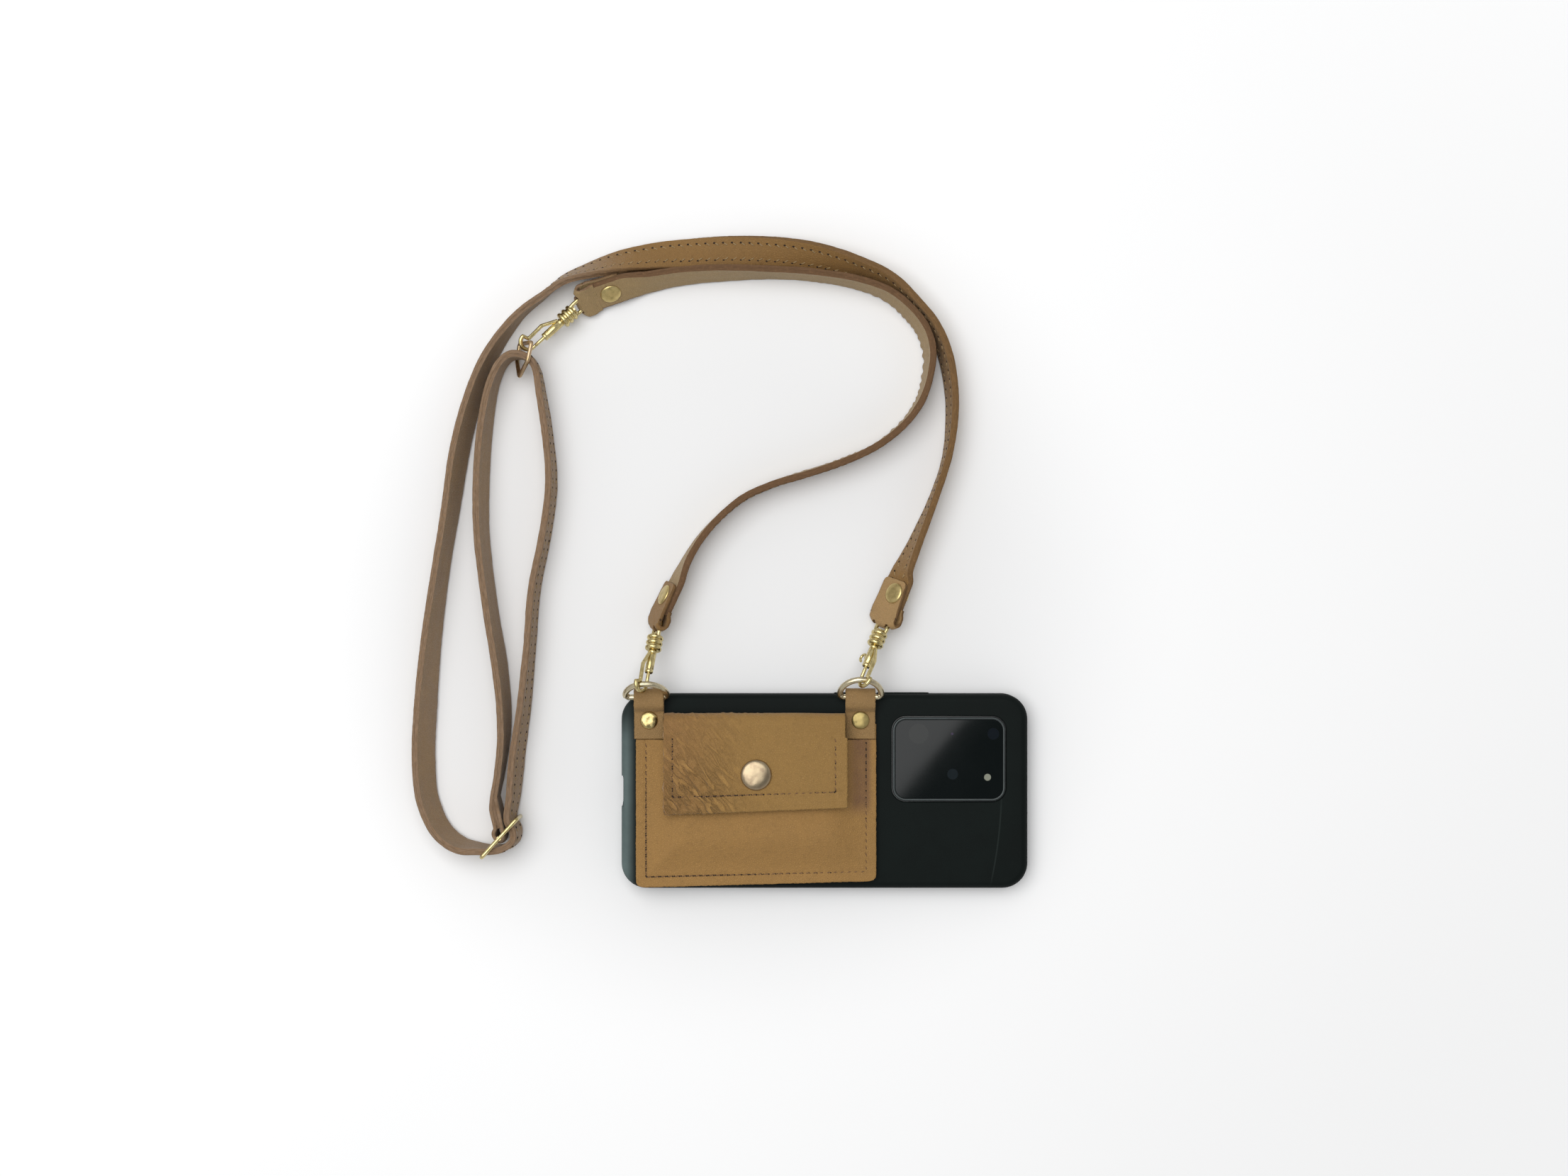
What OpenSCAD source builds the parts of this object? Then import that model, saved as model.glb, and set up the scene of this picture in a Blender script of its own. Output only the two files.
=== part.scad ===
// Leather card pouch on a soft phone case, with a two-part carrying strap.
// The case lies screen side down on Z = 0: +X runs to the phone's top end, +Y to the strap.
// The origin is the middle of the surface that the case rests on. All sizes are in millimetres.

/* [Case] */
// Length of the soft case
case_l = 170.5; // [150:0.5:180]
// Width of the soft case
case_w = 81.5; // [74:0.5:88]
// Side wall of the case
case_wall = 1.8; // [1.2:0.1:2.6]
// Back wall of the case
case_back_t = 1.2; // [0.8:0.1:2]
// Corner radius of the case seen from above
case_corner_r = 13.4; // [9:0.2:16]
// Radius of the case's back edge
case_edge_r = 3.2; // [1.5:0.1:4]
// Height of the lip that keeps the screen off the table
case_lip = 0.9; // [0.4:0.1:1.6]
// Length of the port cut-out in the end wall
port_l = 13; // [10:0.5:18]
// Height of the port cut-out
port_h = 6.4; // [4:0.2:7]
// Length of the volume key pad
volume_pad_l = 22; // [16:1:28]
// Length of the power key pad
power_pad_l = 10; // [7:1:14]
// How far a key pad stands out of the wall
pad_proud = 0.5; // [0.2:0.1:1]

/* [Phone] */
// Thickness of the phone
phone_t = 8.8; // [7:0.1:10]
// Width of the phone's metal band
band_t = 2; // [1.2:0.1:3]
// Thickness of the screen and back glass
glass_t = 0.7; // [0.4:0.1:1.2]
// Length of the camera window
window_l = 48; // [36:0.5:56]
// Width of the camera window
window_w = 36; // [28:0.5:42]
// Corner radius of the camera window
window_r = 6; // [3:0.5:9]
// Width of the metal rim round the camera glass
rim_t = 1.1; // [0.6:0.1:2]
// Height of the camera rim over the phone's back
rim_h = 1.8; // [1.4:0.1:2.4]

/* [Pouch] */
// Width of the pouch
pouch_w = 100.4; // [90:0.2:110]
// Height of the front panel
front_h = 60.4; // [50:0.2:64]
// Thickness of one layer of pouch leather
leather_t = 1; // [0.8:0.1:1.4]
// Clear depth of the card pocket
pocket_gap = 4.4; // [4.2:0.1:6]
// Sewn margin round the pocket
seam_margin = 4.2; // [3:0.1:6]
// Run over which the front panel rises from its seam
crown_run = 9; // [6:0.5:12]
// Width of the flap
flap_w = 76.2; // [66:0.2:80]
// Height of the flap from fold to lower edge
flap_h = 40.6; // [32:0.2:48]
// Thickness of the flap's lining
lining_t = 0.8; // [0.5:0.1:1.2]
// Gap between the closed flap and the front panel
flap_gap = 1.6; // [1.4:0.1:2.2]
// Radius of the panel's lower corners
panel_r = 5; // [3:0.5:8]
// Diameter of the snap's cap
snap_d = 12.8; // [10:0.2:16]
// Thread diameter
thread_d = 0.4; // [0.3:0.05:0.6]

/* [Tabs and rings] */
// Width of a ring tab
tab_w = 12.4; // [10:0.2:13]
// How far a tab's fold stands past the case edge
tab_proud = 2.65; // [1.5:0.05:4]
// Diameter of a tab rivet's cap
tab_rivet_d = 7.4; // [6:0.2:9]
// Wire diameter of a D-ring
ring_wire = 2.5; // [2:0.1:3]
// Inside width of a D-ring
ring_in = 15; // [14:0.5:18]
// Height of a D-ring between wire centres
ring_h = 10.5; // [9:0.25:13]
// Rise of the left D-ring above the table's plane, in degrees
ring_rise = 54; // [35:1:60]

/* [Clips] */
// Length of a clip from hook to bow, between wire centres
clip_l = 33; // [31:0.5:36]
// Wire diameter of the hook
hook_wire = 1.5; // [1.2:0.1:1.7]
// Radius of the hook's bend at the wire centre
hook_r = 3.2; // [3:0.1:3.8]
// Outside diameter of the barrel
barrel_d = 3.2; // [2.8:0.1:3.6]
// Diameter of the sliding bolt
bolt_d = 1.5; // [1.2:0.1:1.7]
// Travel of the bolt
bolt_travel = 4; // [3:0.25:4.5]
// Width of the bow between wire centres
bow_w = 6.8; // [6.4:0.2:7.4]

/* [Strap] */
// Width of the strap
strap_w = 13; // [11:0.5:14]
// Thickness of the strap, two layers
strap_t = 2.8; // [2:0.1:3.2]
// Diameter of a strap rivet's cap
strap_rivet_d = 8.8; // [7:0.2:10]
// Wire diameter of the strap ring
loop_wire = 1.8; // [1.4:0.1:2]
// Inside width of the strap ring
loop_in = 15.4; // [15:0.2:18]
// Wire diameter of the slide buckle
slide_wire = 1.8; // [1.4:0.1:2]
// Length of one slot of the slide buckle between wire centres
slide_slot = 11.3; // [10:0.1:13]
// Height of the slide buckle between wire centres
slide_h = 16; // [15.5:0.1:18]

/* [Hidden] */
$fn = 40;
overrun = 1; // how far a cut runs past the face that it opens
tube_sides = 12; // sides of a bent wire
bend_steps = 3; // steps of a wire's rounded corner
fine_fn = 32; // sides of small round shapes

// Heights of the stack, from the table up
phone_gap = 0.2; // clearance of the phone in its case
phone_l = case_l - 2 * (case_wall + phone_gap);
phone_w = case_w - 2 * (case_wall + phone_gap);
phone_r = case_corner_r - case_wall - phone_gap;
phone_z = case_lip;
phone_top = phone_z + phone_t;
case_h = phone_top + phone_gap / 2 + case_back_t;
glue_t = 0.2; // thickness of the adhesive sheet
glue_inset = 8; // margin of the adhesive sheet inside the panel
back_z = case_h + glue_t;
pocket_z = back_z + leather_t;
front_z = pocket_z + pocket_gap;
front_top = front_z + leather_t;
lining_z = front_top + flap_gap;
flap_z = lining_z + lining_t;
flap_top = flap_z + leather_t;

// Places on the case
window_x = case_l / 2 - 33.15; // middle of the camera window
window_y = case_w / 2 - 27.15;
window_clear = 0.4; // gap between the case and the camera rim
port_z = phone_z + (phone_t - port_h) / 2; // lower side of the port cut-out
port_scoop = 1; // depth of the finger scoop over the port
pad_h = 3.4; // height of a key pad
volume_x = case_l / 2 - 52.25; // middle of the volume pad
power_x = case_l / 2 - 76.25; // middle of the power pad
socket_l = 9; // the phone's charging socket
socket_h = 3.2;

// Places of the pouch, from its own middle line
window_to_pouch = 6.6; // between the camera window and the pouch
pouch_x = window_x - window_l / 2 - window_to_pouch - pouch_w / 2;
panel_edge = case_w / 2 - 18.95; // upper edge of the front panel
panel_bottom = panel_edge - front_h;
fold_r = (flap_top - back_z) / 2; // outer radius of the flap's fold
fold_inner_r = fold_r - leather_t;
fold_z = back_z + fold_r;
fold_y = case_w / 2 - 12.45;
flap_bottom = fold_y + fold_r - flap_h;
neck_gap = 0.3; // gap between the flap's neck and a tab
left_tab_x = pouch_x - pouch_w / 2 + tab_w / 2 - 0.7;
right_tab_x = pouch_x + pouch_w / 2 - tab_w / 2 - 0.4;
neck_left = left_tab_x + tab_w / 2 + neck_gap;
neck_w = right_tab_x - tab_w / 2 - neck_gap - neck_left;
neck_h = 5.5; // length of the narrow neck of the flap
stitch_margin = 3.6; // flap stitch row from its edge
snap_x = pouch_x + 0.1;
snap_y = flap_bottom + 15.2;

// Snap parts
snap_cap_h = 1.7;
snap_post_r = 1.2;
snap_fit = 0.05; // clearance of a post in its hole
socket_r = 4.6;
stud_r = 2.1;
stud_gap = 0.35; // play of the stud in its socket
stud_flange_r = 4.4;
stud_flange_t = 0.3;
post_flange_t = 0.3;

// Tab loops and D-rings
slot_play = 0.15; // play of the ring's bar in its loop
loop_in_r = ring_wire / 2 + slot_play;
loop_out_r = loop_in_r + leather_t;
loop_y = case_w / 2 + tab_proud - loop_out_r; // centre of the fold round the bar
bar_y = loop_y - 1.7; // the bar's place in its loop
bar_z = pocket_z + loop_in_r;
tab_rivet_y = case_w / 2 - 10.75;
tab_end_y = tab_rivet_y - tab_rivet_d / 2 - 0.6;
slot_l = 4.5; // flat length of the loop before it closes
close_l = 3; // length over which the loop closes
tab_rivet_h = 1.1;
tab_rivet_shank = 1.2;
ring_half = (ring_in + ring_wire) / 2;
ring_leg = ring_h - ring_half;
ring_corner = 1.6; // bend of a D-ring's lower corners
left_ring_shift = -1; // the left ring lies against one side of its tab

// Clip lengths along its own axis, hook end at 0
hook_end = 1; // the hook's nose above the bend's centre
bolt_gap = 0.2;
barrel_start = 9.4;
barrel_end = 19.4;
wall_end = 0.8; // closed end of the barrel's bore
bore_fit = 0.1;
neck_r = 1.3;
neck_fit = 0.1;
collar_start = barrel_end + 0.2;
collar_end = 26.2;
flange_r = 2;
flange_gap = 0.2;
flange_t = 0.7;
bead_r = 0.9; // one of the collar's wire turns
bead_ring = 2.25;
bead_count = 3;
bow_root = 2.5; // where the bow's legs meet the collar
bow_corner = 1.5;
stem_z = 14.2; // place of the thumb catch along the clip
stem_r = 0.45;
slot_w = 1.2;
catch_r = 1.5;
catch_reach = 4.6; // centre of the thumb catch from the axis
catch_sweep = 250;
hook_shoulder = 10.4; // where the hook wire meets the barrel
hook_root = 1.1;
ring_seat = 2.8; // where the ring lies above the hook's bend

// Where each clip points: azimuth from +X and fall below the horizontal, towards the strap
left_azimuth = 80.5;
left_fall = 24.4;
left_hook_roll = 130;
left_thumb = -138;
left_contact = -12; // place on the D-ring, in degrees from its top
right_azimuth = 66.5;
right_fall = 22.6;
right_hook_roll = 60;
right_thumb = 180;
right_contact = 11;
end_azimuth = 43.5;
end_fall = 7.5;

// The straps' ways are drawn for a pouch and rings at this place, and move with them
way_x = -28.7;
way_y = 39.3;
way_shift = [pouch_x - way_x, bar_y - way_y, 0];

// Strap ring and slide buckle
loop_d = [-0.18, -0.98, 0]; // from the ring's base towards its point
loop_lean = 66; // lean of the ring's plane above the horizontal
loop_mid = way_shift + [-125.4, 188.2, 9.4]; // middle of the base wire
loop_half = (loop_in + loop_wire) / 2;
loop_side = 8.2; // straight sides
loop_corner = 1.2;
loop_len = 14.6; // base to point between wire centres
hook_up = 2.4; // the end clip's place on the base wire
slide_origin = way_shift + [-143.4, -27.4, 0]; // foot of the buckle's first bar
slide_azimuth = 47.5;
slide_lift = 0.05;
slide_r = slide_wire / 2;
slide_corner = 1.6;
slide_mid = slide_lift + slide_r + slide_h / 2;

// Folded strap ends
fold_leather = strap_t / 2;
fold_play = 0.35; // play round the wire in a fold
rivet_from_bow = 11.2;
end_fold_l = 7.4; // length over which a fold closes
flat_end_l = 15.8; // flat run of the strap under a rivet
tail_l = 17;
strap_rivet_h = 1;
rivet_gap = 0.01; // between the leather and a rivet's head
rivet_side = 1.8; // the right end's rivet sits towards one edge
end_turn_l = 1.5; // length after the flat run over which the strap starts to turn
strap_bevel = 0.5;
join_lap = 0.08; // how deep joined leathers run into each other

// The short strap's way from the left clip to the end clip: x, y, roll and lift off the table
short_way = [
  [-66.5, 78.2, 68, 0.6], [-58.5, 95.8, 79, 0], [-52.8, 105.2, 84, 0], [-45, 114.2, 87, 0],
  [-34.3, 123.1, 88, 0], [-22, 128.8, 88, 0], [-9, 132.9, 85, 0],
  [8.2, 138.6, 86, 0], [23.1, 145.7, 88, 0], [34.6, 155.5, 86, 0], [40.6, 164.7, 84, 0],
  [43.4, 174, 82, 0], [44.3, 184, 79, 0], [41.7, 193.5, 77, 0], [36.1, 201.1, 77, 0],
  [27.2, 208.7, 79, 0], [14, 213.8, 82, 0], [-4, 216.9, 84, 0], [-23.6, 218.1, 83, 0],
  [-42.7, 217.9, 76, 0], [-54, 217.2, 73, 0], [-64, 216, 70, 0], [-74.1, 214, 65, 0],
  [-91, 209.6, 50, 1.2]
];

// The long strap's way from the right clip, round the buckle and the strap ring, back to the buckle
long_way = [
  [29.2, 81.1, 46, 0.5], [33, 92.4, 60, 0], [36.9, 101.2, 73, 0], [41.6, 112.1, 81, 0],
  [46.4, 124, 86, 0], [51.3, 139, 87, 0], [53.5, 154, 82, 0], [53.4, 169, 78, 0],
  [50.6, 184.2, 77, 0], [45.6, 195.3, 76, 0], [37.6, 205, 74, 0], [27.1, 214, 64, 0],
  [12.4, 220.3, 53, 0], [-8, 225.5, 31, 0], [-33.7, 227.6, 10, 0], [-57.6, 226.6, -9, 0],
  [-74.1, 224.7, -28, 0.2], [-87.2, 222.3, -45, 0.2], [-98, 219.2, -60, 0], [-109.2, 215.2, -74, 0],
  [-119.1, 207.8, -84, 0], [-128, 200.6, -90, 0], [-136.7, 189.6, -99, 0], [-143.3, 177.7, -105, 0],
  [-149.6, 159.8, -109, 0], [-154.1, 140.4, -111, 0], [-157.4, 118.1, -108, 0], [-160.9, 97, -106, 0],
  [-165.1, 67, -111, 0], [-167.9, 36, -118, 0], [-168.8, 13.6, -118, 0], [-167, -4, -116, 0],
  [-161, -16.9, -113, 0.4], [-153.2, -22.9, -106, 1.2], [-145.4, -24.2, -96, 2.3], [-139.5, -24.6, -91, 2.4],
  [-134.5, -23.8, -88, 2.4], [-130, -20.5, -86, 2.4], [-129.6, -16, -84, 2.4], [-131.8, -12.2, -83, 2.3],
  [-130.8, -2, -79, 0.9],
  [-129.4, 13.6, -76, 0], [-126.6, 34.5, -79, 0], [-124.1, 60, -83, 0], [-122, 85.3, -83, 0],
  [-117.9, 105.6, -84, 0], [-115, 129, -84, 0], [-116.5, 150, -86, 0.4], [-119.2, 167, -88, 0.7],
  [-120.9, 176.4, -90, 1.2], [-123.7, 181.2, -90, 2.8], [-127.4, 182.9, -90, 2.9], [-131.8, 182.6, -91, 2.7],
  [-135.8, 179, -93, 2], [-139.6, 170.5, -97, 1], [-142.6, 155, -102, 0], [-144.4, 132, -104, 0],
  [-144.3, 108, -102, 0], [-140.6, 76.9, -102, 0], [-136.4, 50.5, -103, 0], [-134.9, 34.5, -101, 0],
  [-135.1, 19.6, -96, 0.6], [-136.7, 6.1, -92, 1.6], [-138.6, -6.6, -90, 2.2]
];

function unit(v) = v / norm(v);
function right_of(t) = unit(cross(t, [0, 0, 1]));
function width_dir(t, roll) = cos(roll) * right_of(t) + sin(roll) * cross(right_of(t), t);
function rest_height(roll) = strap_w / 2 * abs(sin(roll)) + strap_t / 2 * abs(cos(roll));
function place(p) = way_shift + [p[0], p[1], rest_height(p[2]) + p[3]];
function heading(p, i) = unit(p[min(i + 1, len(p) - 1)] - p[max(i - 1, 0)]);
function direction(azimuth, fall) =
  [cos(fall) * cos(azimuth), cos(fall) * sin(azimuth), -sin(fall)];

// Axes of a clip: its length, and the side on which its hook bulges
function clip_frame(azimuth, fall, roll) = let (
  u = direction(azimuth, fall),
  r = right_of(u)
) [u, cos(roll) * r + sin(roll) * cross(r, u)];

// Point on a D-ring's wire, at an angle from its top
function ring_point(x, rise, angle) = let (
  out = ring_leg + ring_half * cos(angle)
) [x + ring_half * sin(angle), bar_y + out * cos(rise), bar_z + out * sin(rise)];

left_ring_x = left_tab_x + left_ring_shift;
right_ring_x = right_tab_x;
right_ring_rise = ring_rise - 13;
left_frame = clip_frame(left_azimuth, left_fall, left_hook_roll);
right_frame = clip_frame(right_azimuth, right_fall, right_hook_roll);
function hook_foot(seat, frame) = seat - hook_r * frame[1] - ring_seat * frame[0];
left_foot = hook_foot(ring_point(left_ring_x, ring_rise, left_contact), left_frame);
right_foot = hook_foot(ring_point(right_ring_x, right_ring_rise, right_contact), right_frame);
left_bow = left_foot + clip_l * left_frame[0];
right_bow = right_foot + clip_l * right_frame[0];

// The strap ring leans; its base wire runs along loop_v
loop_h = [-loop_d[1], loop_d[0], 0];
loop_v = unit(cos(loop_lean) * unit(loop_h) + [0, 0, sin(loop_lean)]);
end_u = direction(end_azimuth, end_fall);
end_side = unit(cross(loop_v, end_u));
end_seat = loop_mid + hook_up * loop_v;
end_foot = end_seat - hook_r * end_side - ring_seat * end_u;
end_bow = end_foot + clip_l * end_u;

left_roll = short_way[0][2];
end_roll = 49; // roll of the short strap at the end clip
right_roll = long_way[0][2];

// Axes of a strap end: along the strap, across it and out of its face
function end_axes(bow, next, roll) = let (
  e = unit(next - bow),
  w = width_dir(e, roll)
) [e, w, cross(w, e)];
left_axes = end_axes(left_bow, place(short_way[0]), left_roll);
right_axes = end_axes(right_bow, place(long_way[0]), right_roll);
short_last = place(short_way[len(short_way) - 1]);
end_axes_in = end_axes(end_bow, short_last, -end_roll);

// Places a shape whose own X, Y and Z follow three unit vectors
module on_axes(origin, x, y, z) {
  fall = acos(z[2]);
  azimuth = atan2(z[1], z[0]);
  base_x = [cos(fall) * cos(azimuth), cos(fall) * sin(azimuth), -sin(fall)];
  base_y = [-sin(azimuth), cos(azimuth), 0];
  spin = atan2(x * base_y, x * base_x);
  translate(origin) rotate([0, fall, azimuth]) rotate([0, 0, spin]) children();
}

module plate_outline(l, w, r) {
  square([l - 2 * r, w], center = true);
  square([l, w - 2 * r], center = true);
  for (x = [-1, 1], y = [-1, 1])
    translate([x * (l / 2 - r), y * (w / 2 - r)]) circle(r);
}

module plate(l, w, r, z, h) {
  translate([0, 0, z]) linear_extrude(h) plate_outline(l, w, r);
}

// Slab with round corners and a rounded upper and lower edge
module soft_slab(l, w, r, z, h, low_r, high_r) {
  hull() for (x = [-1, 1], y = [-1, 1])
    translate([x * (l / 2 - r), y * (w / 2 - r), z])
      rotate_extrude($fn = fine_fn) {
        square([r - max(low_r, high_r), h]);
        translate([0, low_r]) square([r, h - low_r - high_r]);
        intersection() {
          union() {
            translate([r - low_r, low_r]) circle(low_r);
            translate([r - high_r, h - high_r]) circle(high_r);
          }
          square([r, h]);
        }
      }
}

module wire(a, b, r) {
  v = b - a;
  on_axes(a, unit(cross(v, [v[1], v[2], v[0] + norm(v)])), [0, 0, 0], unit(v))
    cylinder(h = norm(v), r = r, $fn = fine_fn);
}

// Points of an arc in a plane, from one angle to another
function arc(centre, r, from, to, steps) =
  [for (i = [0 : steps]) let (a = from + (to - from) * i / steps) centre + r * [cos(a), sin(a)]];

// A corner of a wire, rounded with the given radius
function bend(a, corner, b, r) = let (
  u = unit(a - corner),
  v = unit(b - corner),
  half = acos(u * v) / 2,
  centre = corner + r / sin(half) * unit(u + v),
  start = corner + r / tan(half) * u - centre,
  turn = cross(start, corner + r / tan(half) * v - centre) > 0 ? 1 : -1
) [for (i = [0 : bend_steps]) let (a = turn * (180 - 2 * half) * i / bend_steps)
    centre + [start[0] * cos(a) - start[1] * sin(a), start[0] * sin(a) + start[1] * cos(a)]];

// Round wire along points of the XY plane, as one solid
module tube(points, r, closed = false) {
  n = tube_sides;
  count = len(points);
  last = closed ? count : count - 1;
  verts = [for (i = [0 : count - 1]) let (
    a = closed ? points[(i + count - 1) % count] : points[max(i - 1, 0)],
    b = closed ? points[(i + 1) % count] : points[min(i + 1, count - 1)],
    t = unit(b - a)
  ) each [for (k = [0 : n - 1]) let (q = 360 * (k + 1 / 2) / n)
      [points[i][0] + r * cos(q) * t[1], points[i][1] - r * cos(q) * t[0], r * sin(q)]]];
  sides = [for (i = [0 : last - 1], k = [0 : n - 1]) let (m = (k + 1) % n, j = (i + 1) % count)
    each [[i * n + k, i * n + m, j * n + k], [i * n + m, j * n + m, j * n + k]]];
  caps = closed ? [] : concat(
    [for (k = [1 : n - 2]) [0, k + 1, k]],
    [for (k = [1 : n - 2]) [(count - 1) * n, (count - 1) * n + k, (count - 1) * n + k + 1]]
  );
  polyhedron(verts, concat(sides, caps));
}

module dome(r, h) {
  cap_r = (r * r + h * h) / (2 * h);
  intersection() {
    translate([0, 0, h - cap_r]) sphere(cap_r, $fn = 96);
    cylinder(h = h, r = r);
  }
}

module case_shell() color([0.05, 0.06, 0.06]) {
  difference() {
    union() {
      soft_slab(case_l, case_w, case_corner_r, 0, case_h, case_wall / 3, case_edge_r);
      key_pad(volume_x, volume_pad_l);
      key_pad(power_x, power_pad_l);
    }
    plate(phone_l + 2 * phone_gap, phone_w + 2 * phone_gap, phone_r + phone_gap,
      -overrun, overrun + phone_top + phone_gap / 2);
    translate([window_x, window_y])
      plate(window_l, window_w, window_r, phone_top - overrun, case_back_t + 2 * overrun);
    translate([-case_l / 2 - overrun, -port_l / 2, port_z])
      cube([case_wall + 2 * overrun, port_l, port_h]);
    translate([-case_l / 2 - overrun, -port_l / 2, port_z])
      cube([overrun + port_scoop, port_l, case_h]);
  }
}

module key_pad(x, l) {
  y = case_w / 2;
  z = phone_z + phone_t / 2;
  r = pad_h / 2;
  for (s = [-1, 1])
    translate([x + s * (l / 2 - r), y - case_wall / 2, z])
      rotate([-90, 0, 0]) cylinder(h = case_wall / 2 + pad_proud, r = r);
  translate([x - l / 2 + r, y - case_wall / 2, z - r])
    cube([l - 2 * r, case_wall / 2 + pad_proud, pad_h]);
}

module phone_frame() color([0.12, 0.12, 0.13]) {
  difference() {
    soft_slab(phone_l, phone_w, phone_r, phone_z, phone_t, band_t, band_t);
    plate(phone_l - 2 * band_t, phone_w - 2 * band_t, phone_r - band_t,
      phone_z - overrun, phone_t + 2 * overrun);
    translate([-phone_l / 2, 0, phone_z + phone_t / 2])
      cube([4 * band_t, socket_l, socket_h], center = true);
  }
}

module phone_plate(z, h) {
  plate(phone_l - 2 * band_t, phone_w - 2 * band_t, phone_r - band_t, z, h);
}

module phone_core() color([0.2, 0.2, 0.2])
  phone_plate(phone_z + glass_t, phone_t - 2 * glass_t);

module phone_screen() color([0.02, 0.02, 0.03])
  phone_plate(phone_z, glass_t);

module phone_back_glass() color([0.05, 0.06, 0.07])
  phone_plate(phone_top - glass_t, glass_t);

rim_l = window_l - 2 * window_clear;
rim_w = window_w - 2 * window_clear;
rim_r = window_r - window_clear;
lens_h = rim_h - glass_t - 0.3; // the lenses end under the camera glass
lens_r = 4.4;
lens_step = 14.5;
lens_off = 7; // lens row above the window's middle
flash_r = 1.6;
flash_x = 16.6;
flash_y = -8.2;

module camera_rim() color([0.5, 0.5, 0.52]) {
  translate([window_x, window_y]) difference() {
    plate(rim_l, rim_w, rim_r, phone_top, rim_h);
    plate(rim_l - 2 * rim_t, rim_w - 2 * rim_t, rim_r - rim_t,
      phone_top - overrun, rim_h + 2 * overrun);
  }
}

module camera_glass() color([0.06, 0.07, 0.08, 0.6])
  translate([window_x, window_y])
    plate(rim_l - 2 * rim_t, rim_w - 2 * rim_t, rim_r - rim_t,
      phone_top + rim_h - glass_t - 0.2, glass_t);

module camera_lenses() color([0.1, 0.1, 0.14]) {
  for (k = [-1, 0, 1])
    translate([window_x + k * lens_step, window_y + lens_off, phone_top])
      cylinder(h = lens_h, r = lens_r);
  translate([window_x + lens_r, window_y - lens_off, phone_top])
    cylinder(h = lens_h, r = lens_r * 2 / 3);
}

module camera_flash() color([0.9, 0.85, 0.7])
  translate([window_x + flash_x, window_y + flash_y, phone_top])
    cylinder(h = lens_h, r = flash_r);

// The panel's outline, with square upper corners and round lower ones
module panel_outline(inset, top) {
  w = pouch_w - 2 * inset;
  low = panel_bottom + inset;
  r = max(panel_r - inset, panel_r / 5);
  translate([pouch_x - w / 2, low + r]) square([w, top - low - r]);
  translate([pouch_x - w / 2 + r, low]) square([w - 2 * r, top - low]);
  for (x = [-1, 1]) translate([pouch_x + x * (w / 2 - r), low + r]) circle(r);
}

module adhesive_sheet() color([0.85, 0.85, 0.8])
  translate([0, 0, case_h]) linear_extrude(glue_t)
    panel_outline(glue_inset, panel_edge - glue_inset / 2);

module tab_profile() {
  difference() {
    union() {
      translate([fold_y, back_z]) square([loop_y - fold_y, leather_t]);
      translate([loop_y, bar_z]) circle(loop_out_r);
      translate([loop_y - slot_l, bar_z + loop_in_r]) square([slot_l, leather_t]);
    }
    translate([loop_y, bar_z]) circle(loop_in_r);
    translate([loop_y - slot_l, bar_z - loop_in_r]) square([slot_l, 2 * loop_in_r]);
  }
  close_y = loop_y - slot_l - close_l;
  polygon([
    [close_y, pocket_z], [loop_y - slot_l, bar_z + loop_in_r],
    [loop_y - slot_l, bar_z + loop_in_r + leather_t], [close_y, pocket_z + leather_t]
  ]);
  translate([tab_end_y, pocket_z]) square([close_y - tab_end_y, leather_t]);
}

module back_panel() color([0.55, 0.38, 0.2]) difference() {
  union() {
    translate([0, 0, back_z]) linear_extrude(leather_t) panel_outline(0, fold_y);
    for (x = [left_tab_x, right_tab_x])
      translate([x - tab_w / 2, 0, 0]) rotate([90, 0, 90]) linear_extrude(tab_w) tab_profile();
  }
  for (x = [left_tab_x, right_tab_x])
    translate([x, tab_rivet_y, back_z - overrun])
      cylinder(h = 2 * leather_t + 2 * overrun, r = tab_rivet_shank + snap_fit);
}

module front_panel() color([0.62, 0.45, 0.25]) difference() {
  union() {
    translate([0, 0, pocket_z]) linear_extrude(leather_t) panel_outline(0, panel_edge);
    hull() {
      translate([0, 0, pocket_z + leather_t / 2])
        linear_extrude(leather_t / 2) panel_outline(seam_margin + leather_t, panel_edge);
      translate([0, 0, front_z])
        linear_extrude(leather_t) panel_outline(seam_margin + crown_run, panel_edge);
    }
  }
  hull() {
    translate([0, 0, pocket_z - overrun])
      linear_extrude(overrun) panel_outline(seam_margin + 2 * leather_t, panel_edge + overrun);
    translate([0, 0, front_z - leather_t / 10])
      linear_extrude(leather_t / 10)
        panel_outline(seam_margin + crown_run + leather_t / 2, panel_edge + overrun);
  }
  translate([snap_x, snap_y, front_z - overrun])
    cylinder(h = leather_t + 2 * overrun, r = snap_post_r + snap_fit);
}

module panel_thread() color([0.42, 0.28, 0.14])
  translate([0, 0, pocket_z + leather_t]) linear_extrude(thread_d / 2)
    difference() {
      panel_outline(seam_margin - thread_d, panel_edge - thread_d);
      panel_outline(seam_margin, panel_edge + overrun);
    }

module flap_fold() color([0.58, 0.42, 0.22])
  translate([neck_left, 0, 0]) rotate([90, 0, 90]) linear_extrude(neck_w)
    intersection() {
      difference() {
        translate([fold_y, fold_z]) circle(fold_r);
        translate([fold_y, fold_z]) circle(fold_inner_r);
      }
      translate([fold_y, back_z]) square([fold_r, 2 * fold_r]);
    }

module flap_outline(inset) {
  translate([neck_left + inset, flap_bottom + inset]) {
    square([flap_w - 2 * inset, fold_y - neck_h - flap_bottom - inset]);
    square([neck_w - 2 * inset, fold_y - flap_bottom - inset]);
  }
}

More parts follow.
